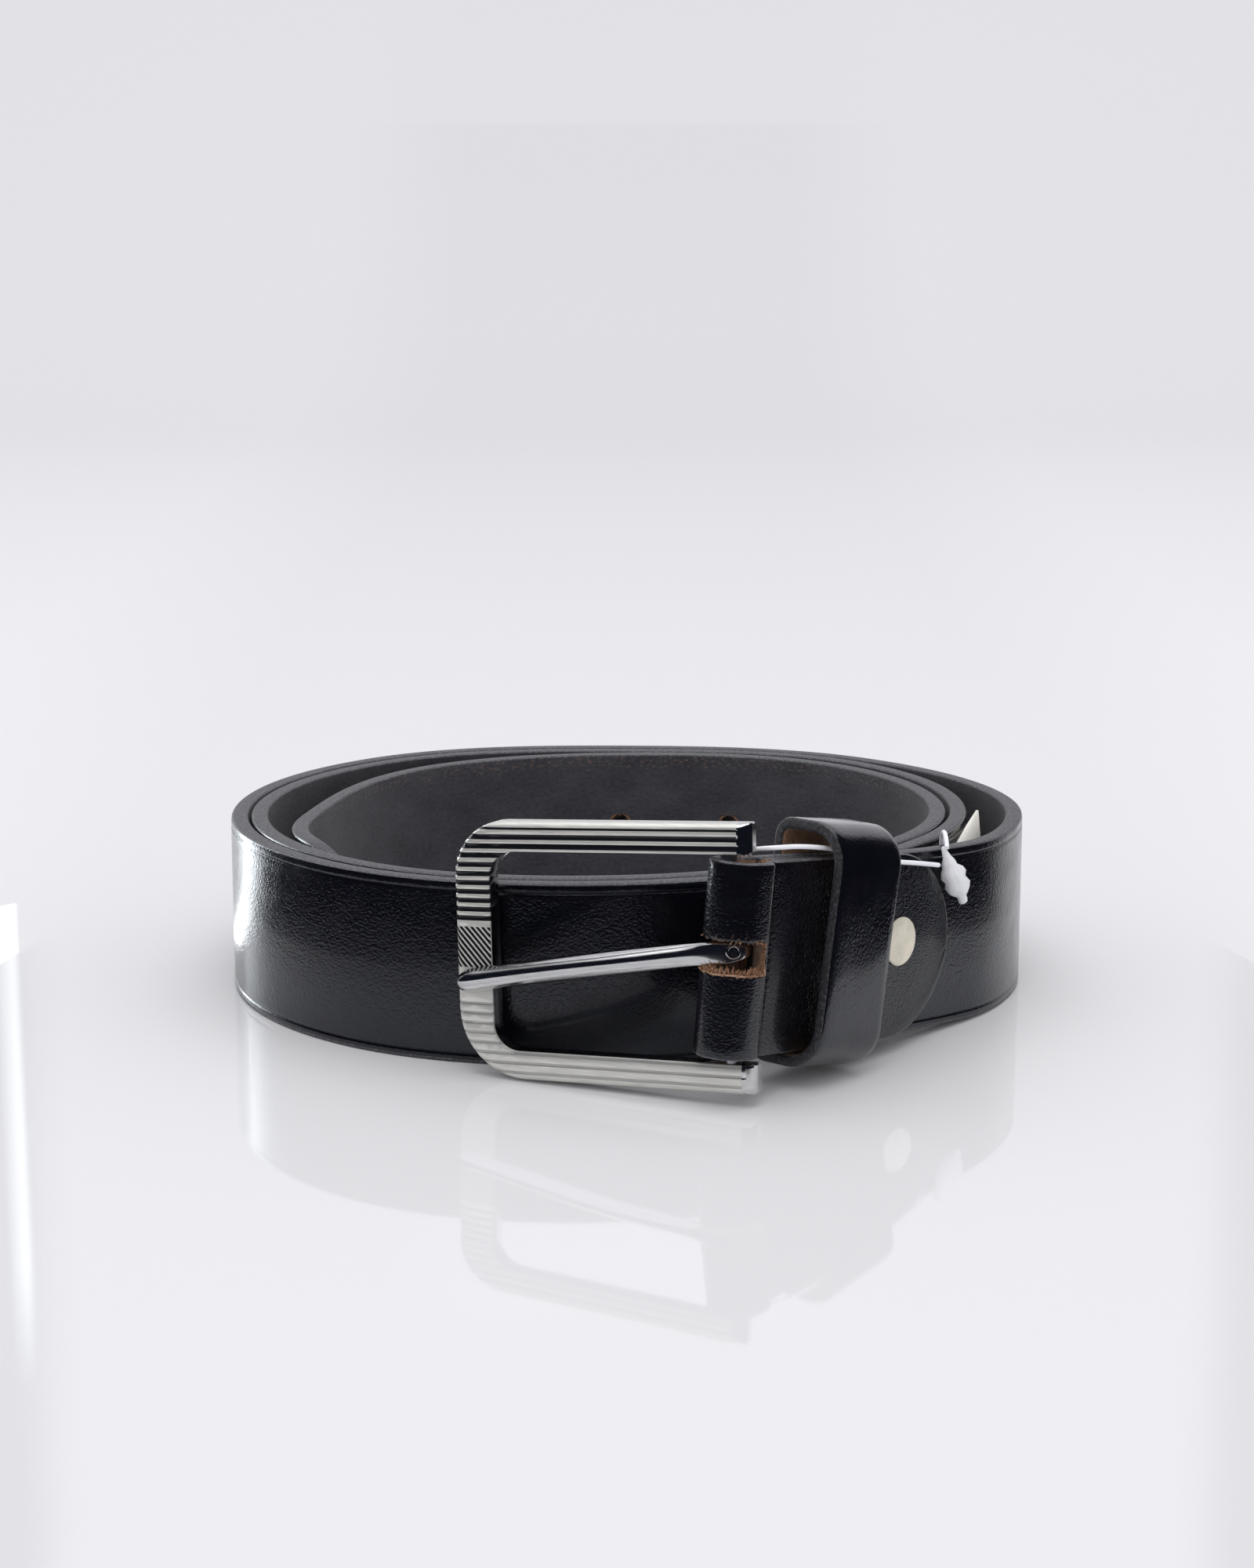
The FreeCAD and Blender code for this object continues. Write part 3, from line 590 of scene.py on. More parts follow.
def half_width(along):
    """Half the strap's width, which shrinks round the tip."""
    past = along - TIP_FROM
    if past <= 0:
        return STRAP_HALF
    return STRAP_HALF * math.sqrt(max(0.0, 1 - (past / TIP_LONG) ** 2.6))


def squeezed(across, half):
    """A place across the full strap, moved to where the narrower tip has it."""
    if half >= STRAP_HALF:
        return across
    rim = 2.5
    full = STRAP_HALF - rim
    if abs(across) <= full:
        return across * max(0.0, half - rim) / full
    return math.copysign(max(0.0, half - (STRAP_HALF - abs(across))), across)


def stations():
    """Plan distances of the strap's sections, with a finer grid at each hole."""
    holes = sorted(TOTAL - TIP_TO_HOLE - HOLE_PITCH * number for number in range(HOLE_COUNT))
    marks = [6.9]

    def fill(end, step):
        start = marks[-1]
        count = max(2, round((end - start) / step))
        marks.extend([start + (end - start) * number / count for number in range(1, count + 1)])

    for hole in holes:
        fill(hole + HOLE_GRID[0], 2.0)
        marks.extend([hole + place for place in HOLE_GRID[1:]])
    for end, step in ((TIP_FROM, 2.0), (TOTAL - 6.0, 1.2), (TOTAL - 0.15, 0.35)):
        fill(end, step)
    return marks, holes


def waviness(along, across):
    """Gentle unevenness of the leather, in millimetres."""
    return 0.07 * noise.noise(Vector((along * 0.045, across * 0.09, 3.7)))


def strap_hole(shape, rows, columns, hole, out, kind):
    """Fill one face's square patch round a hole; gives the ring at the hole's lip."""
    low, high = columns
    first, last = rows[0], rows[-1]
    rim = [row[low] for row in rows] + [last[number] for number in range(low + 1, high)]
    rim += [row[high] for row in reversed(rows)]
    rim += [first[number] for number in range(high - 1, low, -1)]
    places = [(along, -4.0) for along in HOLE_GRID] + [(4.0, across) for across in HOLE_GRID[1:-1]]
    places += [(along, 4.0) for along in reversed(HOLE_GRID)]
    places += [(-4.0, across) for across in reversed(HOLE_GRID[1:-1])]
    if (shape.points[rim[9]] - shape.points[rim[8]]).z < 0:
        places = [(along, -across) for along, across in places]
    rings = [rim]
    sign = math.copysign(1.0, out)
    maps = [places]
    for radius, sink, mixing, raw in ((3.1, 0.0, 0.5, 0.15), (2.5, 0.05, 0.9, 0.55),
                                      (2.1, 0.18, 1.0, 0.9), (1.95, 0.45, 1.0, 1.0)):
        spots = []
        for along, across in places:
            reach = math.hypot(along, across)
            ragged = 1 + 0.04 * noise.noise(Vector((along * 2 + hole, across * 2, out)))
            x, y = along / reach * radius * ragged, across / reach * radius * ragged
            spots.append((along * (1 - mixing) * 0.7 + x * mixing,
                          across * (1 - mixing) * 0.7 + y * mixing))
        maps.append(spots)
        rings.append(shape.ring((strap_point(hole + x, y + HOLE_RISE * mixing, out - sign * sink)
                                 for x, y in spots), raw))
    for (near, near_map), (far, far_map) in zip(zip(rings, maps), zip(rings[1:], maps[1:])):
        count = len(near)
        for number in range(count):
            after = (number + 1) % count
            corners = (near[number], near[after], far[after], far[number])
            spots = (near_map[number], near_map[after], far_map[after], far_map[number])
            shape.face(corners, kind, [((hole + x) * MM, y * MM) for x, y in spots])
    return rings[-1]


def strap_row(shape, along, section, flesh_start):
    """One row of points round the strap; the flesh side's upper edge is a little raw."""
    half = half_width(along)
    row = []
    for number, (place, out) in enumerate(section):
        lift = waviness(along, place) * math.copysign(1, out) if abs(place) < 14 else 0.0
        raw = 0.0
        if flesh_start - 4 < number < flesh_start + 2 and along > TOTAL - 480:
            raw = 0.3
        elif flesh_start - 3 < number < flesh_start + 1:
            raw = 0.12
        row.append(shape.add(strap_point(along, squeezed(place, half), out + lift), raw))
    return row


def hole_fibres(shape, hole):
    """Loose fibres round a hole on the flesh side."""
    chance = random.Random(int(hole))
    for _ in range(HOLE_FIBRES):
        turn = chance.uniform(0, 2 * math.pi)
        reach = chance.uniform(1.75, 2.3)
        base = strap_point(hole + reach * math.cos(turn), HOLE_RISE + reach * math.sin(turn),
                           -STRAP_DEEP + 0.1)
        turn += chance.uniform(-0.9, 0.9)
        reach += chance.uniform(-0.9, 0.9)
        tip = strap_point(hole + reach * math.cos(turn), HOLE_RISE + reach * math.sin(turn),
                          -STRAP_DEEP - chance.uniform(0.1, 0.5))
        shape.spike(base, tip, 0.035 * MM, 1, Vector((0, 0, 0.1 * MM)), 0.9)


def make_strap():
    """The whole strap, from inside the fold to its rounded tip."""
    shape = Shape()
    section, kinds, flesh_start = strap_section()
    marks, holes = stations()
    span = len(HOLE_GRID) - 1
    grid_low = section.index((HOLE_GRID[0], STRAP_DEEP))
    flesh_high = section.index((HOLE_GRID[-1], -STRAP_DEEP))
    flesh_low = flesh_high + span
    rows = [strap_row(shape, along, section, flesh_start) for along in marks]
    starts = [min(range(len(marks)), key=lambda number: abs(marks[number] - hole - HOLE_GRID[0]))
              for hole in holes]
    shape.wrap(rows, kinds, marks, girth(section), {low + step for low in starts for step in range(span)},
               set(range(grid_low, grid_low + span)) | set(range(flesh_high, flesh_low)))
    for hole, low in zip(holes, starts):
        patch = rows[low:low + span + 1]
        outer = strap_hole(shape, patch, (grid_low, grid_low + span), hole, STRAP_DEEP, 0)
        flipped = [row[:flesh_high] + row[flesh_high:flesh_low + 1][::-1] + row[flesh_low + 1:]
                   for row in patch]
        inner = strap_hole(shape, flipped, (flesh_high, flesh_low), hole, -STRAP_DEEP, 1)
        shape.bridge(outer, inner, 1)
        hole_fibres(shape, hole)
    shape.caps(rows, 2)
    return shape.build("strap_leather", "belt", "strap_leather", (GRAIN, FLESH, EDGE), ("strap",))


make_strap()

# ---------------------------------------------------------------- chape: the folded tab

CHAPE_HALF = 17.7
SHEET = 1.1
LEG = STRAP_DEEP + SHEET
BULGE = 4.65
FOLD_CENTRE = 0.5
SLOT_LOW, SLOT_HIGH = -2.3, 3.7
SLOT_END = 2.2
RAW_END = SLOT_END + 1.5
SLOT_FIBRES, END_FIBRES, RIM_FIBRES = 520, 90, 260
FOLD_CREASE = 4.9
FLAP_START = FOLD_CREASE + 2.8
FLAP_CENTRE = 44.3
BACK_END = 53.0
LEVEL = 8.0


def chape_path():
    """Middle line of the folded sheet in the end frame, from the flap round to the back leg."""
    path = []
    last = FLAP_CENTRE + CHAPE_HALF
    along = last - 0.12
    while along > FLAP_CENTRE:
        path.append((along, -LEG))
        along -= 0.25 if along > last - 2 else (0.6 if along > last - 6 else 1.3)
    path += spaced((FLAP_CENTRE, -LEG), (FLAP_START, -LEG), 22)
    for along, leg in spaced((FLAP_START, -LEG), (2.5, -LEG), 18):
        dip = 0.5 * math.exp(-((along - FOLD_CREASE) / 0.7) ** 2)
        path.append((along, leg - (BULGE - LEG) * ease((FOLD_CREASE + 0.2 - along) / 2.8) + dip))
    mouth = [(along, BULGE) for along in (0.8, 1.1, 1.6, SLOT_END)]
    path += [(along, -bulge) for along, bulge in reversed(mouth)]
    path += arc((FOLD_CENTRE, 0), BULGE, -90, -270, 22) + mouth
    for along, bulge in spaced((2.8, BULGE), (LEVEL, BULGE), 8):
        path.append((along, bulge - (BULGE - LEG) * ease((along - 3.4) / 3.4)))
    return path + spaced((LEVEL, LEG), (BACK_END, LEG), 18, stop=19)


def chape_section():
    """Places across the tab, and what share of half its thickness they lie out."""
    inner = [-15.5, -13.5, -11.0, -8.5, -6.0, -4.2, SLOT_LOW - 0.5, SLOT_LOW, 0.0, SLOT_HIGH,
             SLOT_HIGH + 0.5, 7.0, 8.6, 11.0, 13.5, 15.5]
    flats = [-CHAPE_HALF + 0.55] + inner + [CHAPE_HALF - 0.55]
    return sheet_section(flats, CHAPE_HALF, 0.22, 0.5), len(flats)


def flap_half(along, into):
    """Half the tab's width, which shrinks round the flap's end."""
    if along <= FLAP_CENTRE or into >= 0:
        return CHAPE_HALF
    return math.sqrt(max(0.0, CHAPE_HALF ** 2 - (along - FLAP_CENTRE) ** 2))


def flap_place(place, half):
    """A place across the full tab, moved to where the narrower flap has it."""
    if half < 2.2:
        return place * half / CHAPE_HALF
    if abs(place) > 15.5:
        return math.copysign(half - (CHAPE_HALF - abs(place)), place)
    return place * (half - 2.2) / 15.5 if half < CHAPE_HALF else place


def on_slot_edge(place):
    """Whether a place across the tab is one of the slot's two edges."""
    return place in (SLOT_LOW, SLOT_HIGH)


def chape_rawness(along, into, place, share):
    """How raw the tab is at a point: worn at the crease, raw round the slot."""
    if along < RAW_END:
        if on_slot_edge(place):
            return 0.8 if place < 0 else 0.35
        if SLOT_LOW - 0.6 < place < SLOT_HIGH + 0.6:
            return 0.3
    if into < 0 and share > 0:
        return 0.26 * math.exp(-((along - FOLD_CREASE - 0.4) / 1.2) ** 2)
    return 0.0


def chape_row(shape, spot, way, reach, section):
    """One row of points round the tab's sheet."""
    along, into = spot
    half = flap_half(along, into)
    row = []
    for place, share in section:
        where = flap_place(place, half)
        if along < RAW_END and on_slot_edge(place):
            where += 0.35 * noise.noise(Vector((reach * 0.9, place, share)))
        lift = 0.0
        if abs(place) <= 15.6 and share >= 0:
            lift = 0.10 * noise.noise(Vector((reach * 0.16, place * 0.13, 9.1)))
        offset = Vector((-way.y, way.x)) * (share * SHEET + lift)
        row.append(shape.add(put(END, along + offset.x, into + offset.y, where),
                             chape_rawness(along, into, place, share)))
    return row


def slot_walls(shape, rows, reach, strips, span):
    """The cut walls of the slot: two along it and one at each end; the upper wall and both ends are
    coloured darker, as painted shade.
    """
    first_low, first_high, back_low, back_high = strips
    start, stop = span
    for number in range(start, stop):
        # The upper wall takes the darker material, which is painted shade.
        for near, far, kind in ((first_low, back_low, 1), (first_high, back_high, 3)):
            shape.face((rows[number][near], rows[number][far], rows[number + 1][far],
                        rows[number + 1][near]), kind,
                       [(reach[number] * MM, 0), (reach[number] * MM, 0.002),
                        (reach[number + 1] * MM, 0.002), (reach[number + 1] * MM, 0)])
    for number in (start, stop):
        for step in range(first_high - first_low):
            shape.face((rows[number][first_low + step], rows[number][first_low + step + 1],
                        rows[number][back_low - step - 1], rows[number][back_low - step]), 3,
                       [(0, step * MM), (0, step * MM + MM), (0.002, step * MM + MM),
                        (0.002, step * MM)])


def stray(chance):
    """A random way for a fibre to bend."""
    return Vector([chance.uniform(-1, 1) for _ in range(3)])


def chape_fibres(shape, rows, strips, span, mouth, rim):
    """Loose fibres along the slot's edges, at its front end and along the fold's upper rim."""
    first_low, first_high, back_low, back_high = strips
    up = END.to_3x3() @ Vector((0, 0, 1))
    chance = random.Random(5)
    for _ in range(SLOT_FIBRES):
        at = chance.randrange(*span)
        edge = chance.choice((first_low, first_low, first_low, first_low, first_high))
        side, back = (1, back_low) if edge == first_low else (-1, back_high)
        outward = (shape.points[rows[at][edge]] - shape.points[rows[at][back]]).normalized()
        base = shape.points[rows[at][edge]] - outward * chance.uniform(0.0, 2.0) * MM
        sweep = stray(chance)
        rise = up * side * chance.uniform(0.2, 0.8 + 0.5 * side)
        tip = base + (rise + outward * chance.uniform(-0.2, 0.7) + sweep * 0.45) * MM
        shape.spike(base, tip, chance.uniform(0.07, 0.22) * MM, 4, sweep * 0.15 * MM)
    end = rows[span[0]]
    for _ in range(END_FIBRES):
        base = shape.points[end[first_low]].lerp(shape.points[end[first_high]], chance.uniform(0, 1))
        sweep = stray(chance)
        tip = base + (END_X * -chance.uniform(0.2, 1.3) + sweep * 0.4) * MM
        shape.spike(base, tip, chance.uniform(0.04, 0.09) * MM, 4, sweep * 0.15 * MM)
    for _ in range(RIM_FIBRES):
        row = rows[chance.choice(mouth)]
        base = shape.points[row[rim]].lerp(shape.points[row[rim - 2]], chance.uniform(0, 1))
        sweep = stray(chance)
        tip = base + (up * chance.uniform(0.1, 0.6) + sweep * 0.35) * MM
        shape.spike(base, tip, chance.uniform(0.05, 0.09) * MM, 4, sweep * 0.1 * MM)


def make_chape():
    """The tab: a front leg with a round flap, the fold with its slot, and a back leg."""
    shape = Shape()
    path = chape_path()
    section, flats = chape_section()
    kinds = [0] * flats + [2] * 4 + [1] * (flats - 1) + [2] * 4 + [0]
    reach = running(path)
    rows = []
    for number, spot in enumerate(path):
        before, after = path[max(0, number - 1)], path[min(len(path) - 1, number + 1)]
        way = Vector((after[0] - before[0], after[1] - before[1])).normalized()
        rows.append(chape_row(shape, spot, way, reach[number], section))
    first_low, first_high, back_low, back_high = strips = [
        section.index((place, side)) for side in (1.0, -1.0) for place in (SLOT_LOW, SLOT_HIGH)]
    slot_rows = [number for number, (along, into) in enumerate(path)
                 if along <= SLOT_END + 0.01 and abs(into) <= BULGE + 0.01]
    span = slot_rows[0], slot_rows[-1]
    shape.wrap(rows, kinds, reach, girth(section, SHEET), range(*span),
               set(range(first_low, first_high)) | set(range(back_high, back_low)))
    slot_walls(shape, rows, reach, strips, span)
    shape.caps(rows, 2)
    mouth = [number for number, (along, into) in enumerate(path) if 0.5 < along < 6.5]
    rim = section.index((CHAPE_HALF - 0.55, -1.0))
    chape_fibres(shape, rows, strips, span, mouth, rim)
    return shape.build("chape_leather", "belt", "chape_leather",
                       (CHAPE_GRAIN, CHAPE_RAW, CHAPE_EDGE, CHAPE_SLOT_SHADE, FIBRE), ("chape",))


make_chape()

# ---------------------------------------------------------------- buckle frame

FRAME_LEFT = -53.7
FRAME_RIGHT = 4.5
FRAME_HALF = 24.5
OPENING_HALF = 19.0
BAR = 7.3
FACE = 2.2
CORNER_TOP, CORNER_LOW, CORNER_INSIDE = 10.0, 13.0, 5.0
GROOVE_PITCH = 1.8
SHADE_PAINTED_GROOVES = [23.3, 21.75, 20.05] + [18.35 - GROOVE_PITCH * number for number in range(8)]
FAINT_GROOVES = [-10.4 - GROOVE_PITCH * number for number in range(8)]
HATCH_HIGH, HATCH_LOW = 4.0, -3.7
HATCH_PITCH = 0.85
TOP_TAPER = 1.2
LUG = 2.2
END_BEVEL = 0.25
# Each stripe: its height, half its width, its depth and its material, whose darker colour is painted
# shade.
STRIPES = [(SHADE_PAINTED_GROOVES[0], 0.22, 0.14, 1)]
STRIPES += [(height, 0.5, 0.24, 1) for height in SHADE_PAINTED_GROOVES[1:]]
STRIPES += [(height, 0.3, 0.04, 2) for height in FAINT_GROOVES]
SLANT = 1.15
LEAN = math.hypot(1, SLANT)
HATCH_FIRST = (SLANT * FRAME_LEFT + HATCH_LOW) / LEAN
HATCH_LAST = (SLANT * (FRAME_LEFT + BAR) + HATCH_HIGH) / LEAN
HATCH_LINES = [HATCH_FIRST + HATCH_PITCH * number
               for number in range(int((HATCH_LAST - HATCH_FIRST) / HATCH_PITCH) + 2)]


def frame_outlines():
    """Matching points on the frame's outer and inner outline, from heel to heel."""
    left, right = FRAME_LEFT + BAR, FRAME_RIGHT
    high, low = FRAME_HALF - CORNER_TOP, CORNER_LOW - FRAME_HALF
    outer = spaced((right, FRAME_HALF), (FRAME_LEFT + CORNER_TOP, FRAME_HALF), 14)
    outer += arc((FRAME_LEFT + CORNER_TOP, high), CORNER_TOP, 90, 180, 10)
    outer += spaced((FRAME_LEFT, high), (FRAME_LEFT, low), 14, 1)
    outer += arc((FRAME_LEFT + CORNER_LOW, low), CORNER_LOW, 180, 270, 10)
    outer += spaced((FRAME_LEFT + CORNER_LOW, -FRAME_HALF), (right, -FRAME_HALF), 14, 1, 15)
    high = OPENING_HALF - CORNER_INSIDE
    inner = spaced((right, OPENING_HALF), (left + CORNER_INSIDE, OPENING_HALF), 14)
    inner += arc((left + CORNER_INSIDE, high), CORNER_INSIDE, 90, 180, 10)
    inner += spaced((left, high), (left, -high), 14, 1)
    inner += arc((left + CORNER_INSIDE, -high), CORNER_INSIDE, 180, 270, 10)
    inner += spaced((left + CORNER_INSIDE, -OPENING_HALF), (right, -OPENING_HALF), 14, 1, 15)
    return [Vector(point) for point in outer], [Vector(point) for point in inner]


def frame_section(width):
    """The bar's section: distance in from the outer edge, and depth; its face is at -FACE."""
    rim = 1.5
    points = [(0.35, FACE), (0.0, FACE - 0.35)]
    for turn in (0, 18, 36, 54, 72, 90):
        spread = math.radians(turn)
        points.append((rim - rim * math.cos(spread), -FACE + rim - rim * math.sin(spread)))
    for share in (0.35, 0.65):
        points.append((rim + (width - rim) * share, -FACE))
    points += [(width - 0.4, -FACE), (width - 0.12, -FACE + 0.12), (width, -FACE + 0.4),
               (width, FACE - 0.35), (width - 0.35, FACE)]
    return points


def split(work, faces, place, normal):
    """Cut some faces along a plane."""
    parts = set(faces)
    for face in faces:
        parts.update(face.edges)
        parts.update(face.verts)
    bmesh.ops.bisect_plane(work, geom=list(parts), dist=1e-6, plane_co=place, plane_no=normal)


def cut_band(work, chosen, height, half, slant=0.0):
    """Split the face along both sides of a stripe, with narrow walls."""
    across = Vector((slant, 0, 1)).normalized()
    for edge in (height - half, height - half + 0.07, height + half - 0.07, height + half):
        split(work, [face for face in work.faces if chosen(face)], across * edge, across)


def frame_row(shape, rim, hollow, inset=0.0, shift=0.0):
    """One ring round the frame's bar, drawn in at its bevelled ends."""
    width = (hollow - rim).length
    way = (hollow - rim).normalized()
    middle = width / 2
    row = []
    for reach, depth in frame_section(width):
        spot = rim + way * (middle + (reach - middle) * (1 - inset * 2 / width))
        row.append(Vector((spot.x - shift, depth * (1 - inset * 2 / (2 * FACE)), spot.y)))
    return shape.ring(row)


def on_front(face):
    """Whether a face of the frame looks forwards, the rounded rim included."""
    return face.normal.y < -0.05


def on_hatch(face):
    """Whether a face lies in the hatched patch."""
    middle = face.calc_center_median()
    return (face.normal.y < -0.6 and HATCH_LOW < middle.z < HATCH_HIGH
            and middle.x < FRAME_LEFT + BAR)


def hatch_offset(place):
    """How far a point is from the nearest hatch line."""
    along = (SLANT * place.x + place.z) / LEAN
    return min(abs(along - line) for line in HATCH_LINES)


def cut_frame(work):
    """Split the frame's faces where its grooves, hatching and rounded ends begin and end."""
    for height, half, *_ in STRIPES:
        def near(face):
            return on_front(face) and any(abs(vertex.co.z - height) < 12 for vertex in face.verts)
        cut_band(work, near, height, half)
    for height in (HATCH_LOW, HATCH_HIGH):
        bar = [face for face in work.faces
               if face.normal.y < -0.3 and face.calc_center_median().x < FRAME_LEFT + BAR]
        split(work, bar, (0, 0, height), (0, 0, 1))
    for line in HATCH_LINES:
        cut_band(work, on_hatch, line, 0.26, SLANT)
    for share in (1.0, 0.8, 0.6, 0.4, 0.2, 0.08):
        everything = work.verts[:] + work.edges[:] + work.faces[:]
        bmesh.ops.bisect_plane(work, geom=everything, dist=1e-6, plane_no=(1, 0, 0),
                               plane_co=(FRAME_RIGHT - LUG * share, 0, 0))


def paint_frame(work):
    """Give each face its material: land, groove with painted shade, faint groove with lighter painted
    shade, or polish.
    """
    for face in work.faces:
        middle = face.calc_center_median()
        face.material_index = 0
        face.smooth = True
        if middle.x > FRAME_RIGHT - LUG or not on_front(face):
            face.material_index = 3
            continue
        for height, half, _, kind in STRIPES:
            if abs(middle.z - height) < half:
                face.material_index = kind
        if on_hatch(face) and hatch_offset(middle) < 0.26:
            face.material_index = 1


def press_frame(work):
    """Round the arms' ends and sink the grooves and the hatching."""
    for vertex in work.verts:
        place = vertex.co
        lug = min(1.0, (place.x - FRAME_RIGHT + LUG) / LUG)
        if lug > 0 > place.y:
            place.y *= 1 - 1.1 * (1 - math.sqrt(1 - lug * lug))
            continue
        if place.y > -0.9:
            continue
        for height, half, depth, _ in STRIPES:
            if abs(place.z - height) < half - 0.05:
                place.y += depth
        inside = HATCH_LOW + 0.02 < place.z < HATCH_HIGH - 0.02
        if inside and FRAME_LEFT + 0.4 < place.x < FRAME_LEFT + BAR - 0.1 and hatch_offset(place) < 0.2:
            place.y += 0.12


def make_frame():
    """The engraved three-sided frame, in buckle coordinates, then put in place."""
    shape = Shape()
    pairs = list(zip(*frame_outlines()))
    rows = [frame_row(shape, *pairs[0], inset=END_BEVEL), frame_row(shape, *pairs[0], shift=END_BEVEL)]
    rows += [frame_row(shape, *pair) for pair in pairs[1:-1]]
    last = frame_row(shape, *pairs[-1], inset=END_BEVEL)
    rows += [frame_row(shape, *pairs[-1], shift=END_BEVEL), last]
    shape.skin(rows)
    mesh = bpy.data.meshes.new("buckle_frame")
    mesh.from_pydata(shape.points, [], shape.faces)
    work = bmesh.new()
    work.from_mesh(mesh)
    bmesh.ops.recalc_face_normals(work, faces=work.faces)
    cut_frame(work)
    paint_frame(work)
    press_frame(work)
    for edge in work.edges:
        if len(edge.link_faces) == 2 and edge.calc_face_angle() > 0.45:
            edge.smooth = False
    for vertex in work.verts:
        share = (FRAME_RIGHT - vertex.co.x) / (FRAME_RIGHT - FRAME_LEFT)
        vertex.co.z -= TOP_TAPER * share * ease(vertex.co.z / OPENING_HALF)
    bmesh.ops.transform(work, matrix=BUCKLE @ Matrix.Scale(MM, 4), verts=work.verts)
    work.to_mesh(mesh)
    work.free()
    return finish("buckle_frame_metal", mesh, "frame", (LAND, RECESS_SHADE, FAINT_GROOVE_SHADE, POLISH),
                  ("buckle_frame",))


make_frame()

# ---------------------------------------------------------------- prong

PRONG_MIDDLE = 1.4
PRONG_DROP = 7.9
PRONG_REACH = 53.0
PRONG_WIDE = 4.1
CURL_INSIDE = 1.72
CURL_THICK = 1.66


def prong_section(half, thick, round_share):
    """A half-round section: places across and out from its back; flat where it curls."""
    points = []
    count = 14
    for number in range(count + 1):
        turn = math.pi * number / count
        across = -math.cos(turn)
        bow = math.sin(turn)
        ridge = across - 0.25
        roof = max(0.0, 1 - (abs(ridge) / (1.25 if ridge < 0 else 0.75)) ** 1.7)
        flat = min(1.0, bow * 3.0)
        out = flat * (1 - round_share) + (0.55 * roof + 0.45 * bow) * round_share
        points.append((across * half, out * thick))
    points += [(half * 0.9, -0.12), (half * 0.45, -0.15), (0.0, -0.15), (-half * 0.45, -0.15),
               (-half * 0.9, -0.12)]
    return points


def make_prong():
    """One bent rod: its tip on the far bar, its shank, and its curl round the heel bar."""
    shape = Shape()
    rows = []
    parts = [1.0, 0.995, 0.98, 0.96, 0.93, 0.9] + [0.87 - 0.03 * number for number in range(29)]
    for part in parts:
        along = -1.0 - (PRONG_REACH - 1.0) * part
        middle = PRONG_MIDDLE - PRONG_DROP * (part - 0.05 * math.sin(math.pi * part))
        half = PRONG_WIDE / 2 * (1 + 0.1 * part)
        back = CURL_INSIDE + 0.12 + (2.55 - CURL_INSIDE - 0.12) * ease(part / 0.45)
        back += 0.5 * math.sin(math.pi * min(1.0, part / 0.9)) ** 2
        thick = 1.75 + 0.85 * ease(part * 2.2)
        tip = max(0.0, (part - 0.94) / 0.06)
        half *= math.sqrt(max(0.05, 1 - 0.75 * tip ** 2.5))
        thick *= math.sqrt(max(0.08, 1 - 0.85 * tip ** 3))
        rows.append(shape.ring(put(BUCKLE, along, -back - out, middle + across)
                               for across, out in prong_section(half, thick, ease(part * 6 + 0.1))))
    for number in range(34):
        turn = math.radians(-90 + 8.6 * number)
        narrow = 1 - 0.45 * max(0.0, math.cos(turn)) ** 1.5
        row = []
        for across, out in prong_section(PRONG_WIDE / 2 * narrow, CURL_THICK, 0.12):
            reach = CURL_INSIDE + 0.15 + out
            row.append(put(BUCKLE, reach * math.cos(turn), reach * math.sin(turn), PRONG_MIDDLE + across))
        rows.append(shape.ring(row))
    shape.skin(rows)
    eye = (BUCKLE @ Matrix.Translation(Vector((0, 0, PRONG_MIDDLE + 0.3)) * MM) @ turned(28, "Z")
           @ Matrix.Translation(Vector((0, -CURL_INSIDE - CURL_THICK - 0.1, 0)) * MM))
    lathe(shape, eye, [(1.45, 0.4), (1.4, 0.0), (1.2, -0.28), (0.98, -0.26), (0.86, -0.05),
                       (0.84, 0.3)], 24)
    # The eye's floor takes the near-black material: painted shade standing in for a deep hole.
    lathe(shape, eye, [(0.87, 0.3), (0.87, -0.02), (0.5, -0.03), (0.03, -0.03)], 24, kind=1)
    return shape.build("prong_metal", "prong", "prong_chrome", (CHROME, RECESS_SHADE), ("prong",))


make_prong()
heel_bar = frame["nodes"]["heel_bar"]
heel_bar.data.materials.clear()
heel_bar.data.materials.append(STEEL)

# ---------------------------------------------------------------- keeper and its staple

KEEPER_HALF = 9.3
KEEPER_FRONT = 7.6
KEEPER_BACK = 4.45
KEEPER_UP = 20.5
KEEPER_SHEET = 1.1


def keeper_loop():
    """Middle line of the loop in its own Y and Z, with its outward direction."""
    front, back = -KEEPER_FRONT - KEEPER_SHEET, KEEPER_BACK + KEEPER_SHEET
    high = KEEPER_UP + KEEPER_SHEET
    wide, tight = 5.5 + KEEPER_SHEET, 1.5 + KEEPER_SHEET
    loop = []

    def turn_round(y, z, radius, start, steps):
        for number in range(steps + 1):
            turn = math.radians(start + 90 * number / steps)
            way = Vector((math.cos(turn), math.sin(turn)))
            loop.append((Vector((y, z)) + way * radius, way))

    def run(first, second, way, steps):
        for number in range(1, steps):
            loop.append((first.lerp(second, number / steps), way))

    turn_round(back - tight, high - tight, tight, 0, 6)
    run(Vector((back - tight, high)), Vector((front + wide, high)), Vector((0, 1)), 4)
    turn_round(front + wide, high - wide, wide, 90, 10)
    run(Vector((front, high - wide)), Vector((front, wide - high)), Vector((-1, 0)), 14)
    turn_round(front + wide, wide - high, wide, 180, 10)
    run(Vector((front + wide, -high)), Vector((back - tight, -high)), Vector((0, -1)), 4)
    turn_round(back - tight, tight - high, tight, 270, 6)
    run(Vector((back, tight - high)), Vector((back, high - tight)), Vector((1, 0)), 12)
    return loop


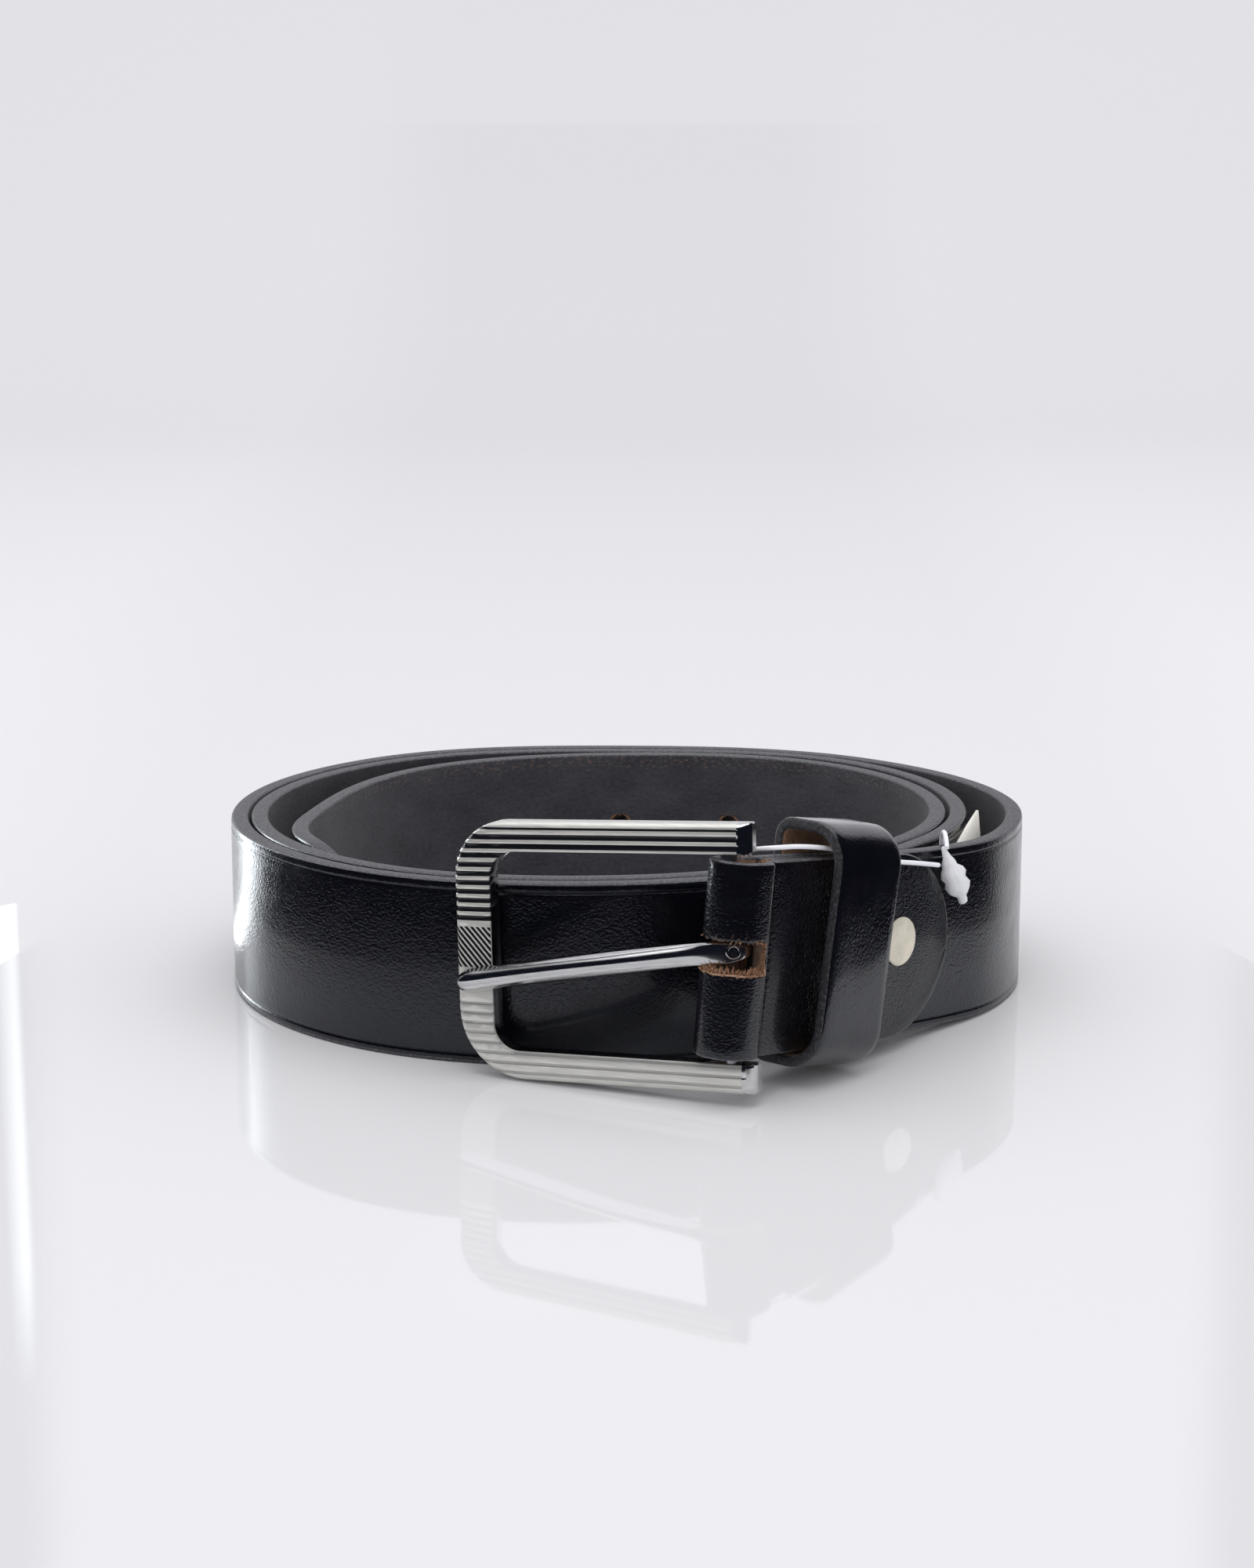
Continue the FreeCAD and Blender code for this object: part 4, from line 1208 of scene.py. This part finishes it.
def make_keeper():
    """The loop of leather that holds the belt's free end."""
    shape = Shape()
    loop = keeper_loop()
    half = KEEPER_HALF
    flats = [-half + 0.6, -7.4, -5.5, -3.5, -1.2, 1.2, 3.5, 5.5, 7.4, half - 0.6]
    section = sheet_section(flats, half, 0.2, 0.55)
    kinds = [0] * len(flats) + [2] * 3 + [1] * (len(flats) + 1) + [2] * 3 + [0]
    reach = running([middle for middle, way in loop + loop[:1]])
    rows = []
    for number, (middle, way) in enumerate(loop):
        row = []
        for place, share in section:
            out = share * KEEPER_SHEET
            if share > 0:
                out += 0.09 * noise.noise(Vector((reach[number] * 0.12, place * 0.2, 2.3)))
                out -= 0.12 * max(0.0, 1 - (half - abs(place)) / 2.5)
            spot = middle + way * out
            row.append(put(KEEPER, place, spot.x, spot.y))
        rows.append(shape.ring(row))
    shape.wrap(rows + rows[:1], kinds, reach, girth(section, KEEPER_SHEET))
    return shape.build("keeper_leather", "keeper", "keeper_leather",
                       (KEEPER_GRAIN, CHAPE_RAW, KEEPER_RIM), ("keeper",))


def tube(shape, places, radius, sides=10):
    """A closed round tube along points in metres."""
    rows = []
    side = (places[1] - places[0]).orthogonal().normalized()
    for number, place in enumerate(places):
        before, after = places[max(0, number - 1)], places[min(len(places) - 1, number + 1)]
        way = (after - before).normalized()
        side = (side - way * side.dot(way)).normalized()
        turns = [2 * math.pi * step / sides for step in range(sides)]
        rows.append(shape.ring(place + (side * math.cos(turn) + way.cross(side) * math.sin(turn)) * radius
                               for turn in turns))
    shape.skin(rows)


def make_staple():
    """The wire that joins the keeper's two ends at the back."""
    shape = Shape()
    back = KEEPER_BACK + 2 * KEEPER_SHEET
    radius = 0.35
    crown = 4.5 - radius
    bend = 0.7
    points = [(-crown, back - 1.5)] + arc((-crown + bend, back + radius - bend), bend, 180, 90, 5)
    points += [(-x, y) for x, y in reversed(points)]
    tube(shape, [put(KEEPER, x, y, 0) for x, y in points], radius * MM)
    return shape.build("keeper_staple_wire", "keeper", "staple_steel", (WIRE,), ("keeper_staple",))


make_keeper()
make_staple()

# ---------------------------------------------------------------- rivets

RIVET_RISE = 1.0
# Each rivet: its name, its distance from the heel bar and how far its back is sunk.
RIVETS = (("flap", 45.9, 0.0), ("hidden", 29.5, 0.8))


def make_rivets():
    """Two rivets: a domed cap in front and a rolled back behind."""
    leg = STRAP_DEEP + 2 * SHEET
    dome = [(1.6, leg - 0.2), (1.6, -leg + 0.05)]
    dome += [(radius, -leg - rise) for radius, rise in (
        (4.3, 0.02), (4.62, 0.12), (4.7, 0.32), (4.6, 0.5), (4.2, 0.66), (3.4, 0.8), (2.2, 0.88),
        (1.0, 0.9), (0.15, 0.9))]
    roll = [(0.9, 0.02), (3.7, 0.02), (4.05, 0.12), (4.2, 0.35), (3.9, 0.6), (3.3, 0.72),
            (2.6, 0.66), (1.5, 0.72), (1.05, 0.6), (0.9, 0.35)]
    for name, along, sunk in RIVETS:
        place = END @ Matrix.Translation(Vector((along, 0, RIVET_RISE)) * MM)
        cap, back = Shape(), Shape()
        lathe(cap, place, dome, 48)
        cap.build("rivet_cap_metal_" + name, "belt", "rivet_brass", (BRASS,), ("rivet_cap_" + name,))
        lathe(back, place, [(radius, leg - sunk + rise) for radius, rise in roll], 40)
        back.build("rivet_back_metal_" + name, "belt", "rivet_brass", (BRASS,), ("rivet_back_" + name,))


make_rivets()

# ---------------------------------------------------------------- tag, its string and its lock

# Route of the string in the end frame: along the strap, out from it, and across it.
STRING = (
    (55.6, 4.6, 15.2), (48.0, 5.4, 16.0), (39.5, 5.6, 16.6), (30.5, 5.5, 18.4),
    (21.5, 4.4, 19.6), (13.0, 3.4, 20.2), (7.4, 2.0, 19.9), (6.0, -1.6, 19.2),
    (8.6, -5.6, 18.0), (15.0, -8.1, 15.4), (24.0, -8.4, 12.8), (33.0, -8.2, 11.2),
    (41.0, -7.8, 9.4), (48.5, -6.5, 8.4), (55.5, -6.0, 6.4), (62.0, -6.3, 5.0),
    (67.0, -3.9, 3.6), (69.6, -2.9, 6.8), (69.0, -2.9, 12.4), (66.6, -2.7, 17.4),
    (63.6, -0.6, 20.9), (60.4, 2.4, 20.6), (58.2, 4.4, 18.4),
)
STRING_WIDE = 0.9
TAG_LONG, TAG_HIGH, TAG_THICK = 38.0, 20.0, 0.5
TAG_HOLE, TAG_HOLE_IN = 2.2, 3.6
TAG_BOW = 0.6
# The lock's middle and the card's near upper corner, from the coil's middle.
LOCK_PLACE = Vector((62.7, -49.4, 31.7))
TAG_APEX = Vector((70.9, -9.4, 36.6))


def make_lock():
    """The moulded lock: a spike above, a lumpy bead and a short stub below."""
    up = Vector((-0.36, -0.04, 0.93)).normalized()
    side = up.orthogonal().normalized()
    place = axes(CENTRE + LOCK_PLACE * MM, side, up.cross(side), up)
    shape = Shape()
    profile = [(0.3, -5.7), (0.8, -5.5), (0.95, -4.9), (0.9, -4.2), (1.5, -3.7), (2.25, -2.7),
               (2.5, -1.6), (2.2, -0.6), (2.5, 0.3), (2.15, 1.3), (1.5, 2.2), (1.45, 2.9),
               (1.15, 3.5), (0.9, 4.1), (0.68, 4.8), (0.52, 5.5), (0.4, 6.1), (0.14, 6.4)]
    lathe(shape, place, profile, 32, "Z", 0.2, 4.0)
    return shape.build("tag_lock_nylon", "belt", "lock_plastic", (NYLON_LOCK,), ("tag_lock",))


def tag_rim(hole, sides):
    """Points on the card's outline, seen from its hole at even angles, its corners among them."""
    rim = []
    for number in range(sides):
        turn = 2 * math.pi * number / sides
        way = Vector((math.cos(turn), math.sin(turn)))
        reach = 100.0
        if abs(way.x) > 1e-6:
            reach = min(reach, ((0 if way.x > 0 else -TAG_LONG) - hole.x) / way.x)
        if abs(way.y) > 1e-6:
            reach = min(reach, ((0 if way.y > 0 else -TAG_HIGH) - hole.y) / way.y)
        rim.append(hole + way * reach)
    for x, y in ((-TAG_LONG, 0), (0, 0), (0, -TAG_HIGH), (-TAG_LONG, -TAG_HIGH)):
        nearest = min(range(sides), key=lambda number: (rim[number] - Vector((x, y))).length)
        rim[nearest] = Vector((x, y)).lerp(Vector((-TAG_LONG / 2, -TAG_HIGH / 2)), 0.012)
    return rim


def make_tag():
    """The card with a round hole near its far upper corner."""
    chord = Vector((TAG_APEX.x - 58.0, TAG_APEX.y + 42.4, 0)).normalized()
    yaw = math.degrees(math.atan2(chord.y, chord.x))
    place = Matrix.Translation(CENTRE + TAG_APEX * MM) @ turned(yaw, "Z") @ turned(-18, "Y")
    shape = Shape()
    hole = Vector((TAG_HOLE_IN - TAG_LONG, -TAG_HOLE_IN))
    sides = 48
    rim = tag_rim(hole, sides)
    lip = arc(hole, TAG_HOLE, 0, 360, sides)[:-1]
    rows = []
    for outline, side in ((lip, 0.5), (rim, 0.5), (rim, -0.5), (lip, -0.5)):
        row = []
        for x, y in outline:
            bow = TAG_BOW * math.sin(math.pi * -x / TAG_LONG)
            row.append(put(place, x, side * TAG_THICK + bow - TAG_BOW, y))
        rows.append(shape.ring(row))
    for first, second in zip(rows, rows[1:] + rows[:1]):
        shape.bridge(first, second)
    return shape.build("hang_tag_card", "belt", "card", (CARD,), ("hang_tag",))


def make_string(pieces):
    """The nylon loop as one smooth spline."""
    curve = bpy.data.curves.new("tag_string_nylon", "CURVE")
    curve.dimensions = "3D"
    curve.bevel_depth = STRING_WIDE / 2 * MM
    curve.bevel_resolution = 4
    curve.resolution_u = 16
    curve.use_fill_caps = True
    spline = curve.splines.new("NURBS")
    spline.points.add(len(STRING) - 1)
    for point, (along, out, across) in zip(spline.points, STRING):
        point.co = (*put(END, along, -out, across), 1)
    spline.order_u = 3
    spline.use_endpoint_u = True
    curve.materials.append(NYLON)
    thing = bpy.data.objects.new("tag_string_nylon", curve)
    bpy.context.scene.collection.objects.link(thing)
    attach(thing, "belt")
    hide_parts("tag_string")


make_string([make_lock(), make_tag()])

# ---------------------------------------------------------------- floor, flag and lights


def floor_material():
    """Pale acrylic: matt white with a weak clear reflection, which fades to both sides of the belt."""
    nodes = Nodes("floor")
    matt = nodes.add("ShaderNodeBsdfDiffuse", Color=(0.80, 0.80, 0.81))
    gloss = nodes.add("ShaderNodeBsdfGlossy", Roughness=0.04)
    apart = nodes.add("ShaderNodeSeparateXYZ", Vector=nodes.place("Object"))
    sideways = nodes.math("ABSOLUTE", apart.outputs[0])
    return nodes.mix(nodes.ramp(sideways, 0.12, 0.21, 0.17, 0.0), matt, gloss)


def one_sided(name, colour, strength):
    """Glows from inside, fades where its mesh says so and is clear from outside."""
    nodes = Nodes(name)
    side = nodes.add("ShaderNodeNewGeometry").outputs["Backfacing"]
    glow = nodes.add("ShaderNodeEmission", Color=colour, Strength=strength)
    faded = nodes.math("SUBTRACT", 1.0, nodes.attribute("fade"))
    return nodes.mix(nodes.math("MAXIMUM", side, faded), glow, nodes.add("ShaderNodeBsdfTransparent"))


def stage_mesh(name, points, faces, material, fades=None):
    """A staged surface that isn't part of the belt."""
    mesh = bpy.data.meshes.new(name)
    mesh.from_pydata(points, [], faces)
    fade = mesh.attributes.new("fade", "FLOAT", "POINT")
    fade.data.foreach_set("value", fades or [1.0] * len(points))
    mesh.polygons.foreach_set("use_smooth", [True] * len(faces))
    mesh.materials.append(material)
    thing = bpy.data.objects.new(name, mesh)
    bpy.context.scene.collection.objects.link(thing)
    return thing


def make_sweep():
    """Floor and backdrop in one bent sheet."""
    profile = [(-2.5, 0.0), (1.3, 0.0)]
    for step in range(1, 13):
        turn = math.radians(90 * step / 12)
        profile.append((1.3 + 0.7 * math.sin(turn), 0.7 - 0.7 * math.cos(turn)))
    profile.append((2.0, 3.2))
    points = [(side, y, z) for y, z in profile for side in (-3.0, 3.0)]
    faces = [(2 * number, 2 * number + 1, 2 * number + 3, 2 * number + 2)
             for number in range(len(profile) - 1)]
    stage_mesh("sweep", points, faces, floor_material())


SCREEN_SOLID = 0.75


def only_in_gloss(thing):
    """Leave a staged thing visible in reflections alone."""
    thing.visible_camera = False
    thing.visible_diffuse = False
    thing.visible_shadow = False
    thing.visible_transmission = False


def make_screen(name, width, depth, start, stop, low, high, colour, strength):
    """An upright curved screen round the belt, seen only in reflections and only from inside."""
    steps = 48
    points, fades, faces = [], [], []
    for number, (x, y) in enumerate(arc((0, 0), 1.0, start, stop, steps)):
        end = ease(min(number, steps - number) / 3)
        for height in (low, low + (high - low) * SCREEN_SOLID, high):
            points.append((width * x, depth * y, height))
            fades.append(end if height < high else 0.0)
    for number in range(3 * steps):
        if number % 3 < 2:
            faces.append((number, number + 1, number + 4, number + 3))
    only_in_gloss(stage_mesh(name, points, faces, one_sided(name, colour, strength), fades))


def make_pool():
    """The strip's glare on the floor, seen only in the belt's gloss."""
    points = []
    for turn in (143.5, 148.5, 153.0, 158.0):
        spread = math.radians(turn)
        points += [(reach * math.cos(spread), 0.76 * reach * math.sin(spread), 0.0004)
                   for reach in (0.105, 0.172)]
    faces = [(2 * number, 2 * number + 1, 2 * number + 3, 2 * number + 2) for number in range(3)]
    only_in_gloss(stage_mesh("pool", points, faces, one_sided("pool", (0.93, 0.97, 1.0), 4.5)))


def area_light(name, place, target, size, power):
    """A soft rectangular light aimed at a point."""
    data = bpy.data.lights.new(name, "AREA")
    data.shape = "RECTANGLE"
    data.size, data.size_y = size
    data.energy = power
    thing = bpy.data.objects.new(name, data)
    thing.location = place
    aim = Vector(target) - Vector(place)
    thing.rotation_euler = aim.to_track_quat("-Z", "Y").to_euler()
    thing.visible_camera = False
    bpy.context.scene.collection.objects.link(thing)
    return thing


def make_lights():
    """An overhead softbox and a pale room."""
    area_light("overhead", (0.0, 0.25, 1.5), (0, 0.1, 0), (1.6, 1.6), 6)
    key = area_light("key", (0.0, -0.45, 0.75), (0, 0.06, 0), (0.35, 0.35), 0.8)
    key.visible_glossy = False
    world = bpy.data.worlds.new("room")
    world.use_nodes = True
    background = world.node_tree.nodes["Background"]
    background.inputs["Color"].default_value = (0.97, 0.97, 1.0, 1)
    background.inputs["Strength"].default_value = 0.93
    bpy.context.scene.world = world


make_sweep()
make_screen("flag", 0.135, 0.125, -203, 22, 0.0005, 0.2, (0.6, 0.7, 1.2), 0.012)
make_screen("strip", 0.172, 0.13, 144, 161, 0.0, 0.13, (0.9, 0.96, 1.0), 9.5)
make_pool()
make_lights()
